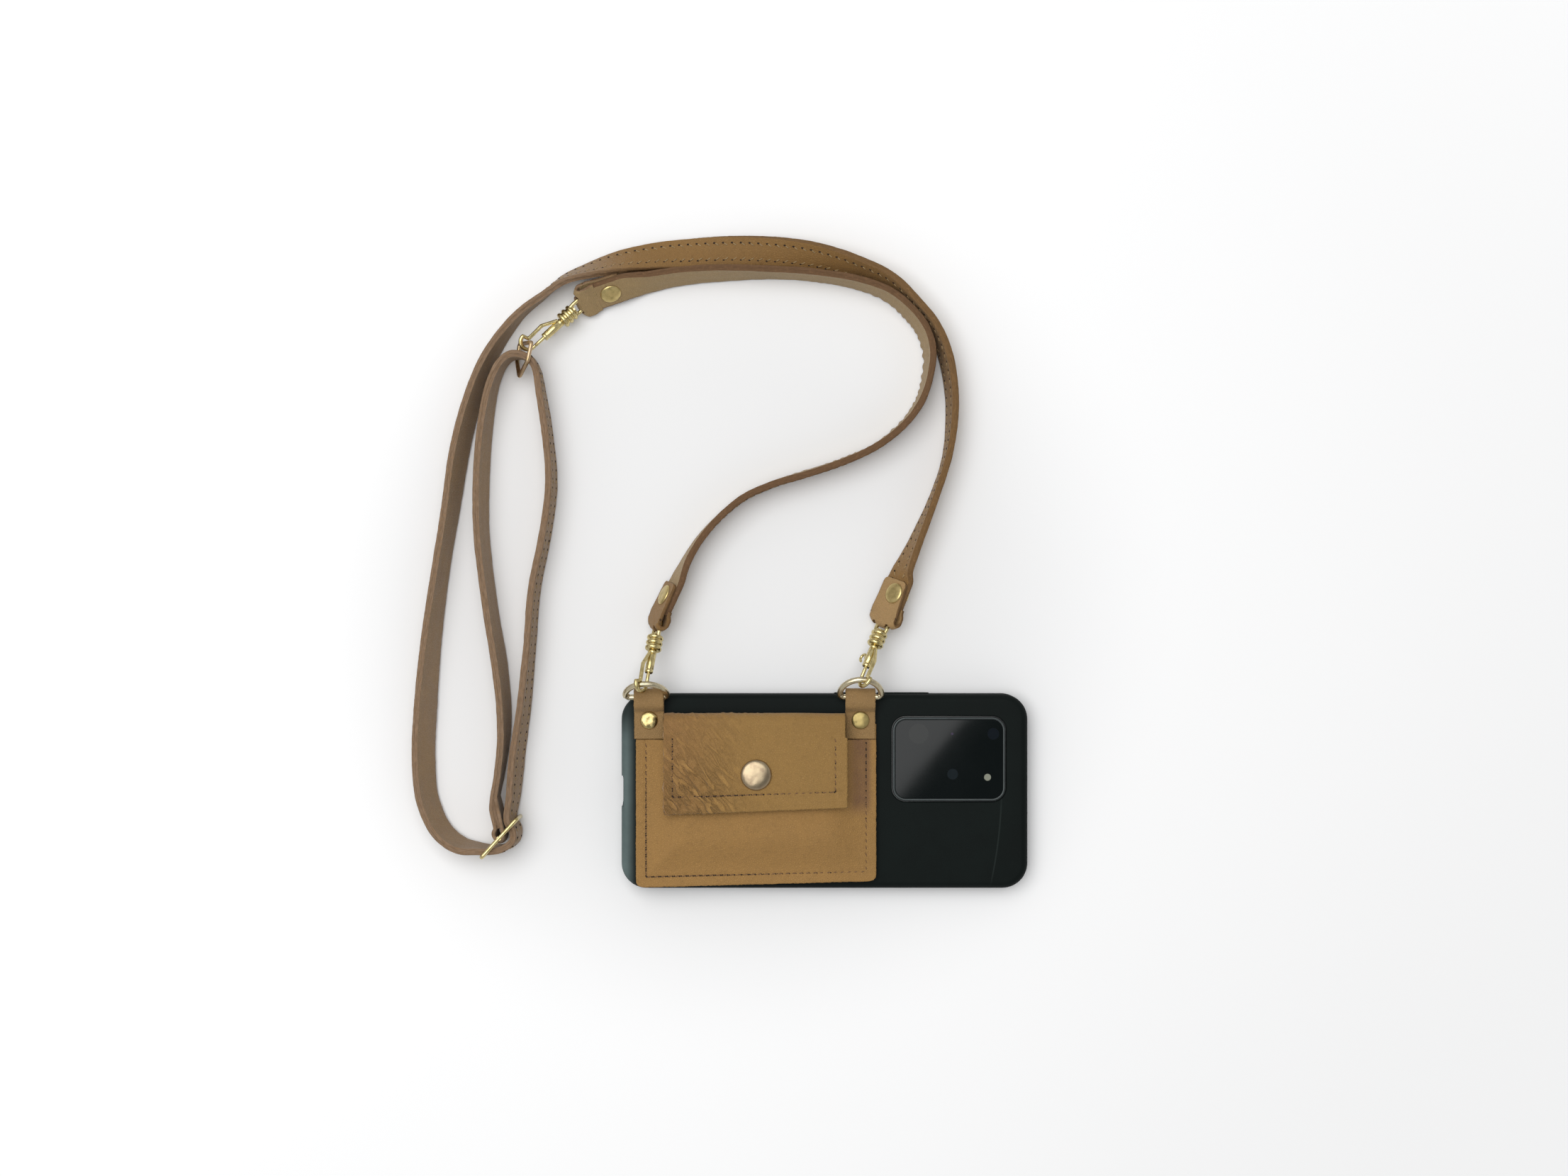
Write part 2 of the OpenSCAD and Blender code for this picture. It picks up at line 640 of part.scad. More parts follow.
module flap() color([0.6, 0.44, 0.24]) difference() {
  translate([0, 0, flap_z]) linear_extrude(leather_t) flap_outline(0);
  translate([snap_x, snap_y, flap_z - overrun])
    cylinder(h = leather_t + 2 * overrun, r = snap_post_r + snap_fit);
}

module flap_lining() color([0.5, 0.36, 0.22]) difference() {
  translate([0, 0, lining_z]) linear_extrude(lining_t) flap_outline(0);
  translate([snap_x, snap_y, lining_z - overrun])
    cylinder(h = lining_t + 2 * overrun, r = snap_post_r + snap_fit);
}

module flap_thread() color([0.42, 0.28, 0.14])
  translate([0, 0, flap_top]) linear_extrude(thread_d / 2)
    difference() {
      flap_outline(stitch_margin - thread_d);
      flap_outline(stitch_margin);
      translate([neck_left, fold_y - neck_h]) square([flap_w, neck_h]);
    }

module snap_cap() color([0.85, 0.74, 0.52]) translate([snap_x, snap_y, 0]) {
  translate([0, 0, flap_top]) dome(snap_d / 2, snap_cap_h);
  translate([0, 0, lining_z]) cylinder(h = flap_top - lining_z, r = snap_post_r);
}

module snap_socket() color([0.8, 0.68, 0.42]) translate([snap_x, snap_y, 0]) difference() {
  socket_h = flap_gap - stud_flange_t - snap_fit * 4;
  translate([0, 0, lining_z - socket_h]) cylinder(h = socket_h, r = socket_r);
  translate([0, 0, lining_z - socket_h - overrun])
    cylinder(h = socket_h + overrun - stud_flange_t, r = stud_r + stud_gap);
}

module snap_stud() color([0.8, 0.68, 0.42]) translate([snap_x, snap_y, front_top]) {
  cylinder(h = stud_flange_t, r = stud_flange_r);
  cylinder(h = flap_gap - 2 * stud_flange_t - snap_fit * 2, r = stud_r);
}

module snap_post() color([0.8, 0.68, 0.42]) translate([snap_x, snap_y, front_z]) {
  translate([0, 0, -post_flange_t]) cylinder(h = post_flange_t, r = stud_flange_r);
  cylinder(h = leather_t, r = snap_post_r);
}

module tab_rivets() color([0.8, 0.7, 0.42]) for (x = [left_tab_x, right_tab_x])
  translate([x, tab_rivet_y, 0]) {
    translate([0, 0, pocket_z + leather_t]) dome(tab_rivet_d / 2, tab_rivet_h);
    translate([0, 0, back_z]) cylinder(h = 2 * leather_t, r = tab_rivet_shank);
    translate([0, 0, case_h]) cylinder(h = glue_t, r = tab_rivet_d / 3);
  }

module d_ring(x, rise) color([0.62, 0.57, 0.42]) translate([x, bar_y, bar_z])
  rotate([rise, 0, 0]) tube(concat(
    arc([0, ring_leg], ring_half, 0, 180, 14),
    bend([-ring_half, ring_leg], [-ring_half, 0], [0, 0], ring_corner),
    bend([0, 0], [ring_half, 0], [ring_half, ring_leg], ring_corner)
  ), ring_wire / 2, true);

module left_d_ring() d_ring(left_ring_x, ring_rise);
module right_d_ring() d_ring(right_ring_x, right_ring_rise);

// The moving half of a clip: barrel, hook and the neck that turns in the collar
module clip_barrel(thumb) color([0.83, 0.72, 0.38]) {
  difference() {
    translate([0, 0, barrel_start]) cylinder(h = barrel_end - barrel_start, r = barrel_d / 2);
    translate([0, 0, barrel_start - overrun])
      cylinder(h = barrel_end - barrel_start + overrun - wall_end, r = bolt_d / 2 + bore_fit);
    rotate([0, 0, thumb])
      translate([0, -slot_w / 2, stem_z - stem_r - bore_fit])
        cube([barrel_d, slot_w, bolt_travel + 2 * stem_r + 2 * bore_fit]);
  }
  translate([0, 0, barrel_end]) {
    cylinder(h = collar_end - barrel_end + flange_gap, r = neck_r);
    translate([0, 0, collar_end - barrel_end + flange_gap])
      cylinder(h = flange_t, r = flange_r);
  }
  rotate([90, 0, 0]) tube(concat(
    [[0, hook_r + hook_end]], arc([hook_r, hook_r], hook_r, 180, 360, 10),
    bend([2 * hook_r, hook_r], [2 * hook_r, hook_shoulder], [hook_root, hook_shoulder], hook_r),
    [[hook_root, hook_shoulder]]
  ), hook_wire / 2);
}

module clip_bolt(thumb) color([0.8, 0.68, 0.34]) {
  start = hook_r + hook_end + bolt_gap;
  translate([0, 0, start]) cylinder(h = stem_z + 2 * stem_r - start, r = bolt_d / 2);
  rotate([0, 0, thumb]) {
    wire([0, 0, stem_z], [catch_reach - catch_r, 0, stem_z], stem_r);
    translate([catch_reach, 0, stem_z]) rotate([90, 0, 0])
      rotate([0, 0, 180 - catch_sweep]) rotate_extrude(angle = catch_sweep)
        translate([catch_r, 0]) circle(stem_r, $fn = 24);
  }
}

// The coil spring behind the bolt, as its outer sleeve
module clip_spring() color([0.7, 0.7, 0.7]) {
  start = stem_z + 2 * stem_r;
  translate([0, 0, start]) difference() {
    cylinder(h = barrel_end - wall_end - start, r = bolt_d / 2);
    translate([0, 0, -overrun])
      cylinder(h = barrel_end, r = bolt_d / 4);
  }
}

// The bow that the strap goes through, with a wire of the given radius
module clip_bow(r) {
  half = bow_w / 2;
  foot = collar_end - bead_r;
  rotate([90, 0, 90]) tube(concat(
    [[bow_root, foot]],
    bend([bow_root, foot], [half, collar_end + bow_corner], [half, clip_l], bow_corner),
    bend([half, collar_end + bow_corner], [half, clip_l], [0, clip_l], bow_corner),
    bend([0, clip_l], [-half, clip_l], [-half, collar_end + bow_corner], bow_corner),
    bend([-half, clip_l], [-half, collar_end + bow_corner], [-bow_root, foot], bow_corner),
    [[-bow_root, foot]]
  ), r);
}

// The collar of wire turns with the bow
module clip_eye() color([0.83, 0.72, 0.38]) {
  step = (collar_end - collar_start - 2 * bead_r) / (bead_count - 1);
  translate([0, 0, collar_start]) rotate_extrude() {
    translate([neck_r + neck_fit, 0])
      square([bead_ring - neck_r - neck_fit, collar_end - collar_start]);
    for (k = [0 : bead_count - 1])
      translate([bead_ring, bead_r + k * step]) circle(bead_r, $fn = fine_fn);
  }
  clip_bow(hook_wire / 2);
}

module at_clip(foot, u, side) on_axes(foot, side, cross(u, side), u) children();

// An eye turns so that its bow follows the strap's width
module at_eye(foot, u, w) {
  flat = unit(w - (w * u) * u);
  on_axes(foot, cross(flat, u), flat, u) children();
}

module left_clip_eye() at_eye(left_foot, left_frame[0], left_axes[1]) clip_eye();
module left_clip_barrel() at_clip(left_foot, left_frame[0], left_frame[1]) clip_barrel(left_thumb);
module left_clip_bolt() at_clip(left_foot, left_frame[0], left_frame[1]) clip_bolt(left_thumb);
module left_clip_spring() at_clip(left_foot, left_frame[0], left_frame[1]) clip_spring();
module right_clip_eye() at_eye(right_foot, right_frame[0], right_axes[1]) clip_eye();
module right_clip_barrel() at_clip(right_foot, right_frame[0], right_frame[1]) clip_barrel(right_thumb);
module right_clip_bolt() at_clip(right_foot, right_frame[0], right_frame[1]) clip_bolt(right_thumb);
module right_clip_spring() at_clip(right_foot, right_frame[0], right_frame[1]) clip_spring();
end_thumb = -90;
module end_clip_eye() at_eye(end_foot, end_u, end_axes_in[1]) clip_eye();
module end_clip_barrel() at_clip(end_foot, end_u, end_side) clip_barrel(end_thumb);
module end_clip_bolt() at_clip(end_foot, end_u, end_side) clip_bolt(end_thumb);
module end_clip_spring() at_clip(end_foot, end_u, end_side) clip_spring();

// Flat strap swept along its way as one closed solid
function section_at(p, t, roll) = let (
  w = width_dir(t, roll),
  n = cross(w, t),
  a = strap_w / 2,
  b = strap_t / 2,
  c = strap_bevel
) [for (q = [[c - a, -b], [a - c, -b], [a, c - b], [a, b - c], [a - c, b], [c - a, b], [-a, b - c], [-a, c - b]])
    p + q[0] * w + q[1] * n];

module strap_sweep(points, rolls) {
  n = 8;
  last = len(points) - 1;
  verts = [for (i = [0 : last]) each section_at(points[i], heading(points, i), rolls[i])];
  sides = [for (i = [0 : last - 1], k = [0 : n - 1]) let (m = (k + 1) % n)
    each [[i * n + k, i * n + m, (i + 1) * n + k], [i * n + m, (i + 1) * n + m, (i + 1) * n + k]]];
  first_cap = [for (k = [1 : n - 2]) [0, k + 1, k]];
  last_cap = [for (k = [1 : n - 2]) [last * n, last * n + k, last * n + k + 1]];
  polyhedron(verts, concat(sides, first_cap, last_cap));
}

// Where a folded end closes on the strap, past its wire
function after_fold(bow, axes) = bow + end_fold_l * axes[0];

// The strap's end folded round a wire, and its tail. The children cut the wire's way through it
module end_fold(origin, axes, wire_r, tail_side) {
  outer = wire_r + fold_play + fold_leather;
  half_t = strap_t / 2;
  w = strap_w - 2 * join_lap;
  difference() {
    on_axes(origin, axes[0], axes[1], axes[2]) {
      rotate([90, 0, 0]) translate([0, 0, -w / 2]) linear_extrude(w) hull() {
        circle(outer);
        translate([end_fold_l - half_t / 2, join_lap - half_t])
          square([half_t / 2 + join_lap, strap_t - 2 * join_lap]);
      }
      low = tail_side > 0 ? half_t - join_lap : -half_t - fold_leather;
      translate([end_fold_l - half_t, -w / 2, low])
        cube([tail_l - end_fold_l + half_t, w, fold_leather + join_lap]);
    }
    children();
  }
}

function past_rivet(bow, axes) = bow + flat_end_l * axes[0];
function at_turn(bow, axes) = bow + (flat_end_l + end_turn_l) * axes[0];

module short_strap() color([0.5, 0.36, 0.2]) {
  inner = [for (i = [1 : len(short_way) - 2]) short_way[i]];
  points = concat(
    [after_fold(left_bow, left_axes), past_rivet(left_bow, left_axes), at_turn(left_bow, left_axes)],
    [for (p = inner) place(p)], [at_turn(end_bow, end_axes_in)],
    [past_rivet(end_bow, end_axes_in), after_fold(end_bow, end_axes_in)]
  );
  rolls = concat(
    [left_roll, left_roll, left_roll], [for (p = inner) p[2]], [end_roll, end_roll, end_roll]
  );
  strap_sweep(points, rolls);
  end_fold(left_bow, left_axes, hook_wire / 2, 1)
    at_eye(left_foot, left_frame[0], left_axes[1]) clip_bow(hook_wire / 2 + fold_play);
  end_fold(end_bow, end_axes_in, hook_wire / 2, -1)
    at_eye(end_foot, end_u, end_axes_in[1]) clip_bow(hook_wire / 2 + fold_play);
}

slide_dir = direction(slide_azimuth, 0);
slide_bar = slide_origin + slide_slot * slide_dir + [0, 0, slide_mid];
long_last = place(long_way[len(long_way) - 1]);
slide_roll = -90;
slide_axes = end_axes(slide_bar, [long_last[0], long_last[1], slide_mid], -slide_roll);

module long_strap() color([0.5, 0.36, 0.2]) {
  inner = [for (i = [1 : len(long_way) - 1]) long_way[i]];
  points = concat(
    [after_fold(right_bow, right_axes), past_rivet(right_bow, right_axes)],
    [at_turn(right_bow, right_axes)], [for (p = inner) place(p)],
    [after_fold(slide_bar, slide_axes)]
  );
  rolls = concat([right_roll, right_roll, right_roll], [for (p = inner) p[2]], [slide_roll]);
  strap_sweep(points, rolls);
  end_fold(right_bow, right_axes, hook_wire / 2, 1)
    at_eye(right_foot, right_frame[0], right_axes[1]) clip_bow(hook_wire / 2 + fold_play);
  end_fold(slide_bar, slide_axes, slide_r, -1)
    translate([slide_bar[0], slide_bar[1], 0]) cylinder(h = slide_h, r = slide_r + fold_play);
}

// The rivet's two heads, one on the strap and one on its tail
module strap_rivet(bow, axes, side, tail_side) {
  on_axes(bow + rivet_from_bow * axes[0] + side * axes[1], axes[0], axes[1], axes[2])
    for (s = [-1, 1])
      translate([0, 0, s * (strap_t / 2 + rivet_gap + (s == tail_side ? fold_leather : 0))])
        rotate([s < 0 ? 180 : 0, 0, 0]) dome(strap_rivet_d / 2, strap_rivet_h);
}

module strap_rivets() color([0.84, 0.76, 0.4]) {
  strap_rivet(left_bow, left_axes, 0, 1);
  strap_rivet(right_bow, right_axes, rivet_side, 1);
  strap_rivet(end_bow, end_axes_in, 0, -1);
}

module strap_ring() color([0.72, 0.56, 0.42]) {
  foot = [[0, -loop_half], [0, loop_half]];
  side = [[loop_side, loop_half], [loop_side, -loop_half]];
  point = [loop_len + loop_wire / 2, 0];
  d = unit(loop_d);
  on_axes(loop_mid, d, loop_v, cross(d, loop_v)) tube(concat(
    bend(foot[0], foot[1], side[0], loop_corner), bend(foot[1], side[0], point, loop_wire),
    bend(side[0], point, side[1], loop_wire), bend(point, side[1], foot[0], loop_wire),
    bend(side[1], foot[0], foot[1], loop_corner)
  ), loop_wire / 2, true);
}

module slide_buckle() color([0.86, 0.72, 0.36]) {
  low = [0, 0];
  high = [0, slide_h];
  far = [2 * slide_slot, 0];
  far_high = far + high;
  translate(slide_origin + [0, 0, slide_lift + slide_r]) rotate([90, 0, slide_azimuth]) {
    tube(concat(
      bend(far, low, high, slide_corner), bend(low, high, far_high, slide_corner),
      bend(high, far_high, far, slide_corner), bend(far_high, far, low, slide_corner)
    ), slide_r, true);
    translate([slide_slot, 0, 0]) rotate([-90, 0, 0]) cylinder(h = slide_h, r = slide_r);
  }
}

case_shell();
phone_frame();
phone_core();
phone_screen();
phone_back_glass();
camera_rim();
camera_glass();
camera_lenses();
camera_flash();
adhesive_sheet();
back_panel();
front_panel();
panel_thread();
flap_fold();
flap();
flap_lining();
flap_thread();
snap_cap();
snap_socket();
snap_stud();
snap_post();
tab_rivets();
left_d_ring();
right_d_ring();
left_clip_eye();
left_clip_barrel();
left_clip_bolt();
left_clip_spring();
right_clip_eye();
right_clip_barrel();
right_clip_bolt();
right_clip_spring();
end_clip_eye();
end_clip_barrel();
end_clip_bolt();
end_clip_spring();
short_strap();
long_strap();
strap_rivets();
strap_ring();
slide_buckle();
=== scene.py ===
import math

import bmesh
import bpy
from mathutils import Matrix, Vector, noise


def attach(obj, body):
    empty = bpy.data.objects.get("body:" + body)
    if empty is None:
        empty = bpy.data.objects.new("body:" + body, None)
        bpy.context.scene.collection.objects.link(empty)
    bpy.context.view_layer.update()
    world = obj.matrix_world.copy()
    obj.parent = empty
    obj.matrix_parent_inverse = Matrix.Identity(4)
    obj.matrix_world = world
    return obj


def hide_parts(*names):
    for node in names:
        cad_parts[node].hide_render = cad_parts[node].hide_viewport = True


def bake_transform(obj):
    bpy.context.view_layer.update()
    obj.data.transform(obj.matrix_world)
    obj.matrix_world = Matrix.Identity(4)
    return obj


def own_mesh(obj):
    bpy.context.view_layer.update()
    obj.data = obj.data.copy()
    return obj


mm = 0.001
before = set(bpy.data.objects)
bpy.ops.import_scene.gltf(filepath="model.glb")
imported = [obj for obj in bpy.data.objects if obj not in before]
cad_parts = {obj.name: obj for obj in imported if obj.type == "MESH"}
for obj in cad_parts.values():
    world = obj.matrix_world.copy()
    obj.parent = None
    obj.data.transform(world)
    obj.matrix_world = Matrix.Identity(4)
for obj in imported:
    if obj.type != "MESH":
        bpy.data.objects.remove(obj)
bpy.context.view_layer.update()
print("frame loaded,", len(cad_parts), "nodes")

# Camera straight above the table, as the photograph was taken
cameraSet = {"x": -17.02, "y": 85.25, "height": 900, "lens": 48.73, "sensor": 36}

cameraData = bpy.data.cameras.new("camera")
cameraData.sensor_width = cameraSet["sensor"]
cameraData.lens = cameraSet["lens"]
cameraData.clip_start = 0.01
camera = bpy.data.objects.new("camera", cameraData)
camera.location = Vector((cameraSet["x"], cameraSet["y"], cameraSet["height"])) * mm
bpy.context.scene.collection.objects.link(camera)
bpy.context.scene.camera = camera
bpy.context.scene.view_settings.view_transform = "Standard"


# Shader maths, written as plain sums
class Value:
    def __init__(self, finish, socket):
        self.finish = finish
        self.socket = socket

    def math(self, operation, other=None, swap=False):
        values = [self] if other is None else [self, other]
        if swap:
            values.reverse()
        return self.finish.add("ShaderNodeMath", {"operation": operation}, values)

    def __add__(self, other):
        return self.math("ADD", other)

    def __sub__(self, other):
        return self.math("SUBTRACT", other)

    def __rsub__(self, other):
        return self.math("SUBTRACT", other, True)

    def __mul__(self, other):
        return self.math("MULTIPLY", other)

    def __truediv__(self, other):
        return self.math("DIVIDE", other)

    def __pow__(self, other):
        return self.math("POWER", other)

    __radd__ = __add__
    __rmul__ = __mul__

    def fract(self):
        return self.math("FRACT")

    def size(self):
        return self.math("ABSOLUTE")

    def least(self, other):
        return self.math("MINIMUM", other)

    def most(self, other):
        return self.math("MAXIMUM", other)

    def band(self, low, high):  # 0 below low, 1 above high, smooth between
        return self.finish.add(
            "ShaderNodeMapRange", {"interpolation_type": "SMOOTHSTEP"}, [self, low, high, 0.0, 1.0]
        )


class Finish:
    def __init__(self, name, shader=None):
        self.material = bpy.data.materials.new(name)
        self.material.use_nodes = True
        self.tree = self.material.node_tree
        self.shader = self.tree.nodes["Principled BSDF"]
        for socket, value in (shader or {}).items():
            self.join(value, self.shader.inputs[socket])

    def join(self, value, socket):
        if isinstance(value, Value):
            self.tree.links.new(value.socket, socket)
        elif isinstance(value, tuple) and socket.type == "RGBA":
            socket.default_value = (*value, 1.0)
        else:
            socket.default_value = value

    def add(self, kind, settings=None, values=(), out=0):
        node = self.tree.nodes.new(kind)
        for key, value in (settings or {}).items():
            if key == "stops":
                ramp = node.color_ramp
                for k, (place, colour) in enumerate(value):
                    stop = ramp.elements[k] if k < 2 else ramp.elements.new(place)
                    stop.position = place
                    stop.color = (*colour, 1.0)
            else:
                setattr(node, key, value)
        pairs = values.items() if isinstance(values, dict) else enumerate(values)
        for key, value in pairs:
            self.join(value, node.inputs[key])
        return Value(self, node.outputs[out])

    def spot(self):  # the piece's own coordinates, in metres
        return self.add("ShaderNodeTexCoord", out="Object")

    def flat(self):  # the piece's UV map, in metres
        return self.add("ShaderNodeTexCoord", out="UV")

    def split(self, vector):
        node = self.add("ShaderNodeSeparateXYZ", {}, [vector]).socket.node
        return [Value(self, node.outputs[k]) for k in range(3)]

    def turned(self, vector, place=(0, 0, 0), turn=(0, 0, 0), scale=(1, 1, 1)):
        values = {"Vector": vector, "Location": place, "Rotation": turn, "Scale": scale}
        return self.add("ShaderNodeMapping", {"vector_type": "POINT"}, values)

    def clouds(self, vector, scale, detail=3.0, rough=0.55, twist=0.0):
        values = {"Vector": vector, "Scale": scale, "Detail": detail, "Roughness": rough, "Distortion": twist}
        return self.add("ShaderNodeTexNoise", {}, values)

    def cells(self, vector, scale, feature="F1", jitter=1.0):
        values = {"Vector": vector, "Scale": scale, "Randomness": jitter}
        return self.add("ShaderNodeTexVoronoi", {"feature": feature}, values)

    def mix(self, factor, a, b, blend="MIX"):
        settings = {"data_type": "RGBA", "blend_type": blend}
        return self.add("ShaderNodeMix", settings, {0: factor, 6: a, 7: b}, 2)

    def bump(self, height, depth, after=None):  # depth in metres
        values = {"Strength": 1.0, "Distance": depth, "Height": height}
        if after is not None:
            values["Normal"] = after
        return self.add("ShaderNodeBump", {}, values)

    def set(self, socket, value):
        self.join(value, self.shader.inputs[socket])


def scaled(colour, share):
    return tuple(min(c * share, 1.0) for c in colour)


# Leather finishes: full-grain face, cut edge and suede side
leatherLook = {
    "front": (0.345, 0.188, 0.054),
    "flap": (0.312, 0.176, 0.048),
    "tab": (0.315, 0.188, 0.070),
    "strap": (0.262, 0.142, 0.042),
    "strapFar": (0.285, 0.195, 0.122),
    "strapBack": (0.375, 0.232, 0.096),
    "pale": (0.345, 0.235, 0.108),
    # cut edges: the raw leather's own lighter tan, raised further as a painted highlight where the edges catch the
    # light
    "edge": (0.400, 0.255, 0.140),
    "strapEdge": (0.195, 0.108, 0.042),
    "strapEdgeFar": (0.280, 0.186, 0.118),
    "brownEdge": (0.162, 0.088, 0.042),
    "red": (0.262, 0.112, 0.046),
    # colour of the flap's painted shadow on the front panel
    "shade": (0.165, 0.082, 0.040),
    "fadeX": (-0.115, -0.075),
    "grain": 0.8,
    "roughness": 0.62,
}


# A second colour takes over towards the left end of the straps
def farShade(f, near, far):
    if far is None:
        return near
    low, high = leatherLook["fadeX"]
    share = f.split(f.spot())[0].band(low, high)
    return f.mix(share, far, near)


def leather(name, colour, far=None, uv=False, warm=0.0, seamX=None, flapShadowX=None, crease=0.0):
    f = Finish(name, {"Roughness": leatherLook["roughness"], "IOR": 1.4, "Sheen Weight": 0.12})
    f.set("Sheen Roughness", 0.45)
    at = f.flat() if uv else f.spot()
    broad = f.clouds(at, 22, 3, 0.5)
    patch = f.clouds(at, 130, 4, 0.6)
    pore = f.clouds(at, 2600, 3, 0.6)
    swirl = f.clouds(at, 420, 5, 0.65, 0.4)
    grain = f.cells(at, 1000 / leatherLook["grain"], "DISTANCE_TO_EDGE")
    pebbleWall = 1 - grain.band(0.02, 0.3)
    base = farShade(f, colour, far)
    colourBase = f.mix(patch.band(0.35, 0.7) * 0.16, base, scaled(colour, 1.25))
    colourBase = f.mix(broad.band(0.42, 0.66) * 0.35, colourBase, scaled(colour, 0.82))
    if warm:
        x = f.split(at)[0]
        side = (1 - x.band(seamX - 0.03, seamX + 0.012)) * warm * (0.35 + swirl * 0.9)
        colourBase = f.mix(side, colourBase, leatherLook["red"])
    # painted shadow: a darker brown strip on the front panel, right of the flap's edge, where the flap's shadow falls
    if flapShadowX:
        x, y, z = f.split(at)
        side = x.band(flapShadowX, flapShadowX + 0.005) * (1 - x.band(flapShadowX + 0.009, flapShadowX + 0.012)) * y.band(-0.012, -0.003)
        colourBase = f.mix((side * (0.5 + patch * 0.7)).least(1.0), colourBase, leatherLook["shade"])
    colourBase = f.mix(pebbleWall * 0.22, colourBase, scaled(colour, 0.5))
    colourBase = f.mix(pore.band(0.5, 0.75) * 0.3, colourBase, scaled(colour, 1.35))
    colourBase = f.mix(swirl.band(0.52, 0.72) * 0.3, colourBase, scaled(colour, 0.6))
    speck = f.clouds(at, 950, 2, 0.5)
    colourBase = f.mix(speck.band(0.5, 0.7) * 0.25, colourBase, scaled(colour, 0.62))
    height = grain.band(0.0, 0.35) * 0.5 + swirl * 0.9 + pore * 0.18
    if crease:
        # folds run down to the right from the left edge and fade past the middle; their valleys and grooves are painted
        # darker (painted shade) and their ridges lighter (painted highlight)
        x, y, z = f.split(at)
        lying = f.turned(at, turn=(0, 0, math.radians(51)))
        wave = f.clouds(f.turned(lying, scale=(105, 430, 200)), 1.0, 3, 0.5, 0.6)
        fold = 1 - ((wave - 0.5).size() * 13.0).least(1.0)
        rippleShade = f.clouds(f.turned(lying, scale=(330, 1150, 500)), 1.0, 2, 0.5)
        share = (1 - x.band(-0.050, -0.024)) * (1.15 - y.band(-0.004, 0.030) * 0.6) * crease
        valleyShade = (fold * share).least(1.0)
        # painted shade in the fold valleys
        colourBase = f.mix(valleyShade * 0.5, colourBase, scaled(colour, 0.45))
        rise = (wave.band(0.56, 0.70) * share).least(1.0)
        # painted highlight on the fold ridges
        colourBase = f.mix(rise * 0.45, colourBase, scaled(colour, 1.55))
        # painted shade in the fine grooves
        colourBase = f.mix((rippleShade.band(0.55, 0.72) * share).least(1.0) * 0.35, colourBase, scaled(colour, 0.55))
        height = height + (wave * 4.0 - valleyShade * 1.6) * share
    f.set("Base Color", colourBase)
    f.set("Roughness", 0.56 + pebbleWall * 0.12 + patch * 0.08)
    f.set("Normal", f.bump(height, 0.0002))
    return f


def cutEdge(name, colour, far=None, uv=False):
    f = Finish(name, {"Roughness": 0.85, "IOR": 1.35})
    at = f.flat() if uv else f.spot()
    # fibres lie along the edge in thin layers
    stretch = f.turned(at, scale=(260, 2400, 2400) if uv else (900, 900, 2600))
    fibre = f.clouds(stretch, 1.0, 4, 0.65)
    tuft = f.clouds(at, 700, 3, 0.6)
    base = farShade(f, colour, far)
    shade = f.mix(fibre.band(0.3, 0.7) * 0.55, base, scaled(colour, 0.5))
    shade = f.mix(tuft.band(0.5, 0.75) * 0.35, shade, scaled(colour, 1.7))
    f.set("Base Color", shade)
    f.set("Normal", f.bump(fibre * 0.8 + tuft, 0.00025))
    return f


# Metal finishes
metalLook = {
    "gold": (0.72, 0.60, 0.30),
    "goldDark": (0.36, 0.28, 0.11),
    "ring": (0.66, 0.58, 0.40),
    "ringDark": (0.32, 0.26, 0.16),
    "cap": (0.43, 0.340, 0.220),
    "capDark": (0.31, 0.225, 0.15),
    "loop": (0.56, 0.40, 0.25),
    "stud": (0.62, 0.49, 0.22),
}


def wornMetal(name, light, dark, roughness=0.22, dents=0.0, dentScale=260, dullX=None):
    f = Finish(name, {"Metallic": 1.0})
    at = f.spot()
    patch = f.clouds(at, 420, 4, 0.6)
    scratch = f.clouds(f.turned(at, scale=(900, 5200, 900)), 1.0, 2, 0.5)
    shade = f.mix(patch.band(0.42, 0.72) * 0.7, light, dark)
    rough = roughness + patch * 0.14 + scratch * 0.06
    if dullX is not None:  # the pieces past this line are duller
        dull = f.split(at)[0].band(dullX, dullX + 0.01)
        shade = f.mix(dull * 0.75, shade, dark)
        rough = rough + dull * 0.2
    f.set("Base Color", shade)
    f.set("Roughness", rough)
    height = scratch * 0.05 + f.clouds(at, dentScale, 2, 0.4) * dents
    f.set("Normal", f.bump(height, 0.0004))
    return f


# Plastic, glass and thread
# the second colour is a painted reflection on the case's left strip
caseLook = {"colour": (0.0032, 0.0056, 0.0050), "paintedSheen": (0.128, 0.170, 0.166), "line": (74.6, 70.4, -6, -38)}


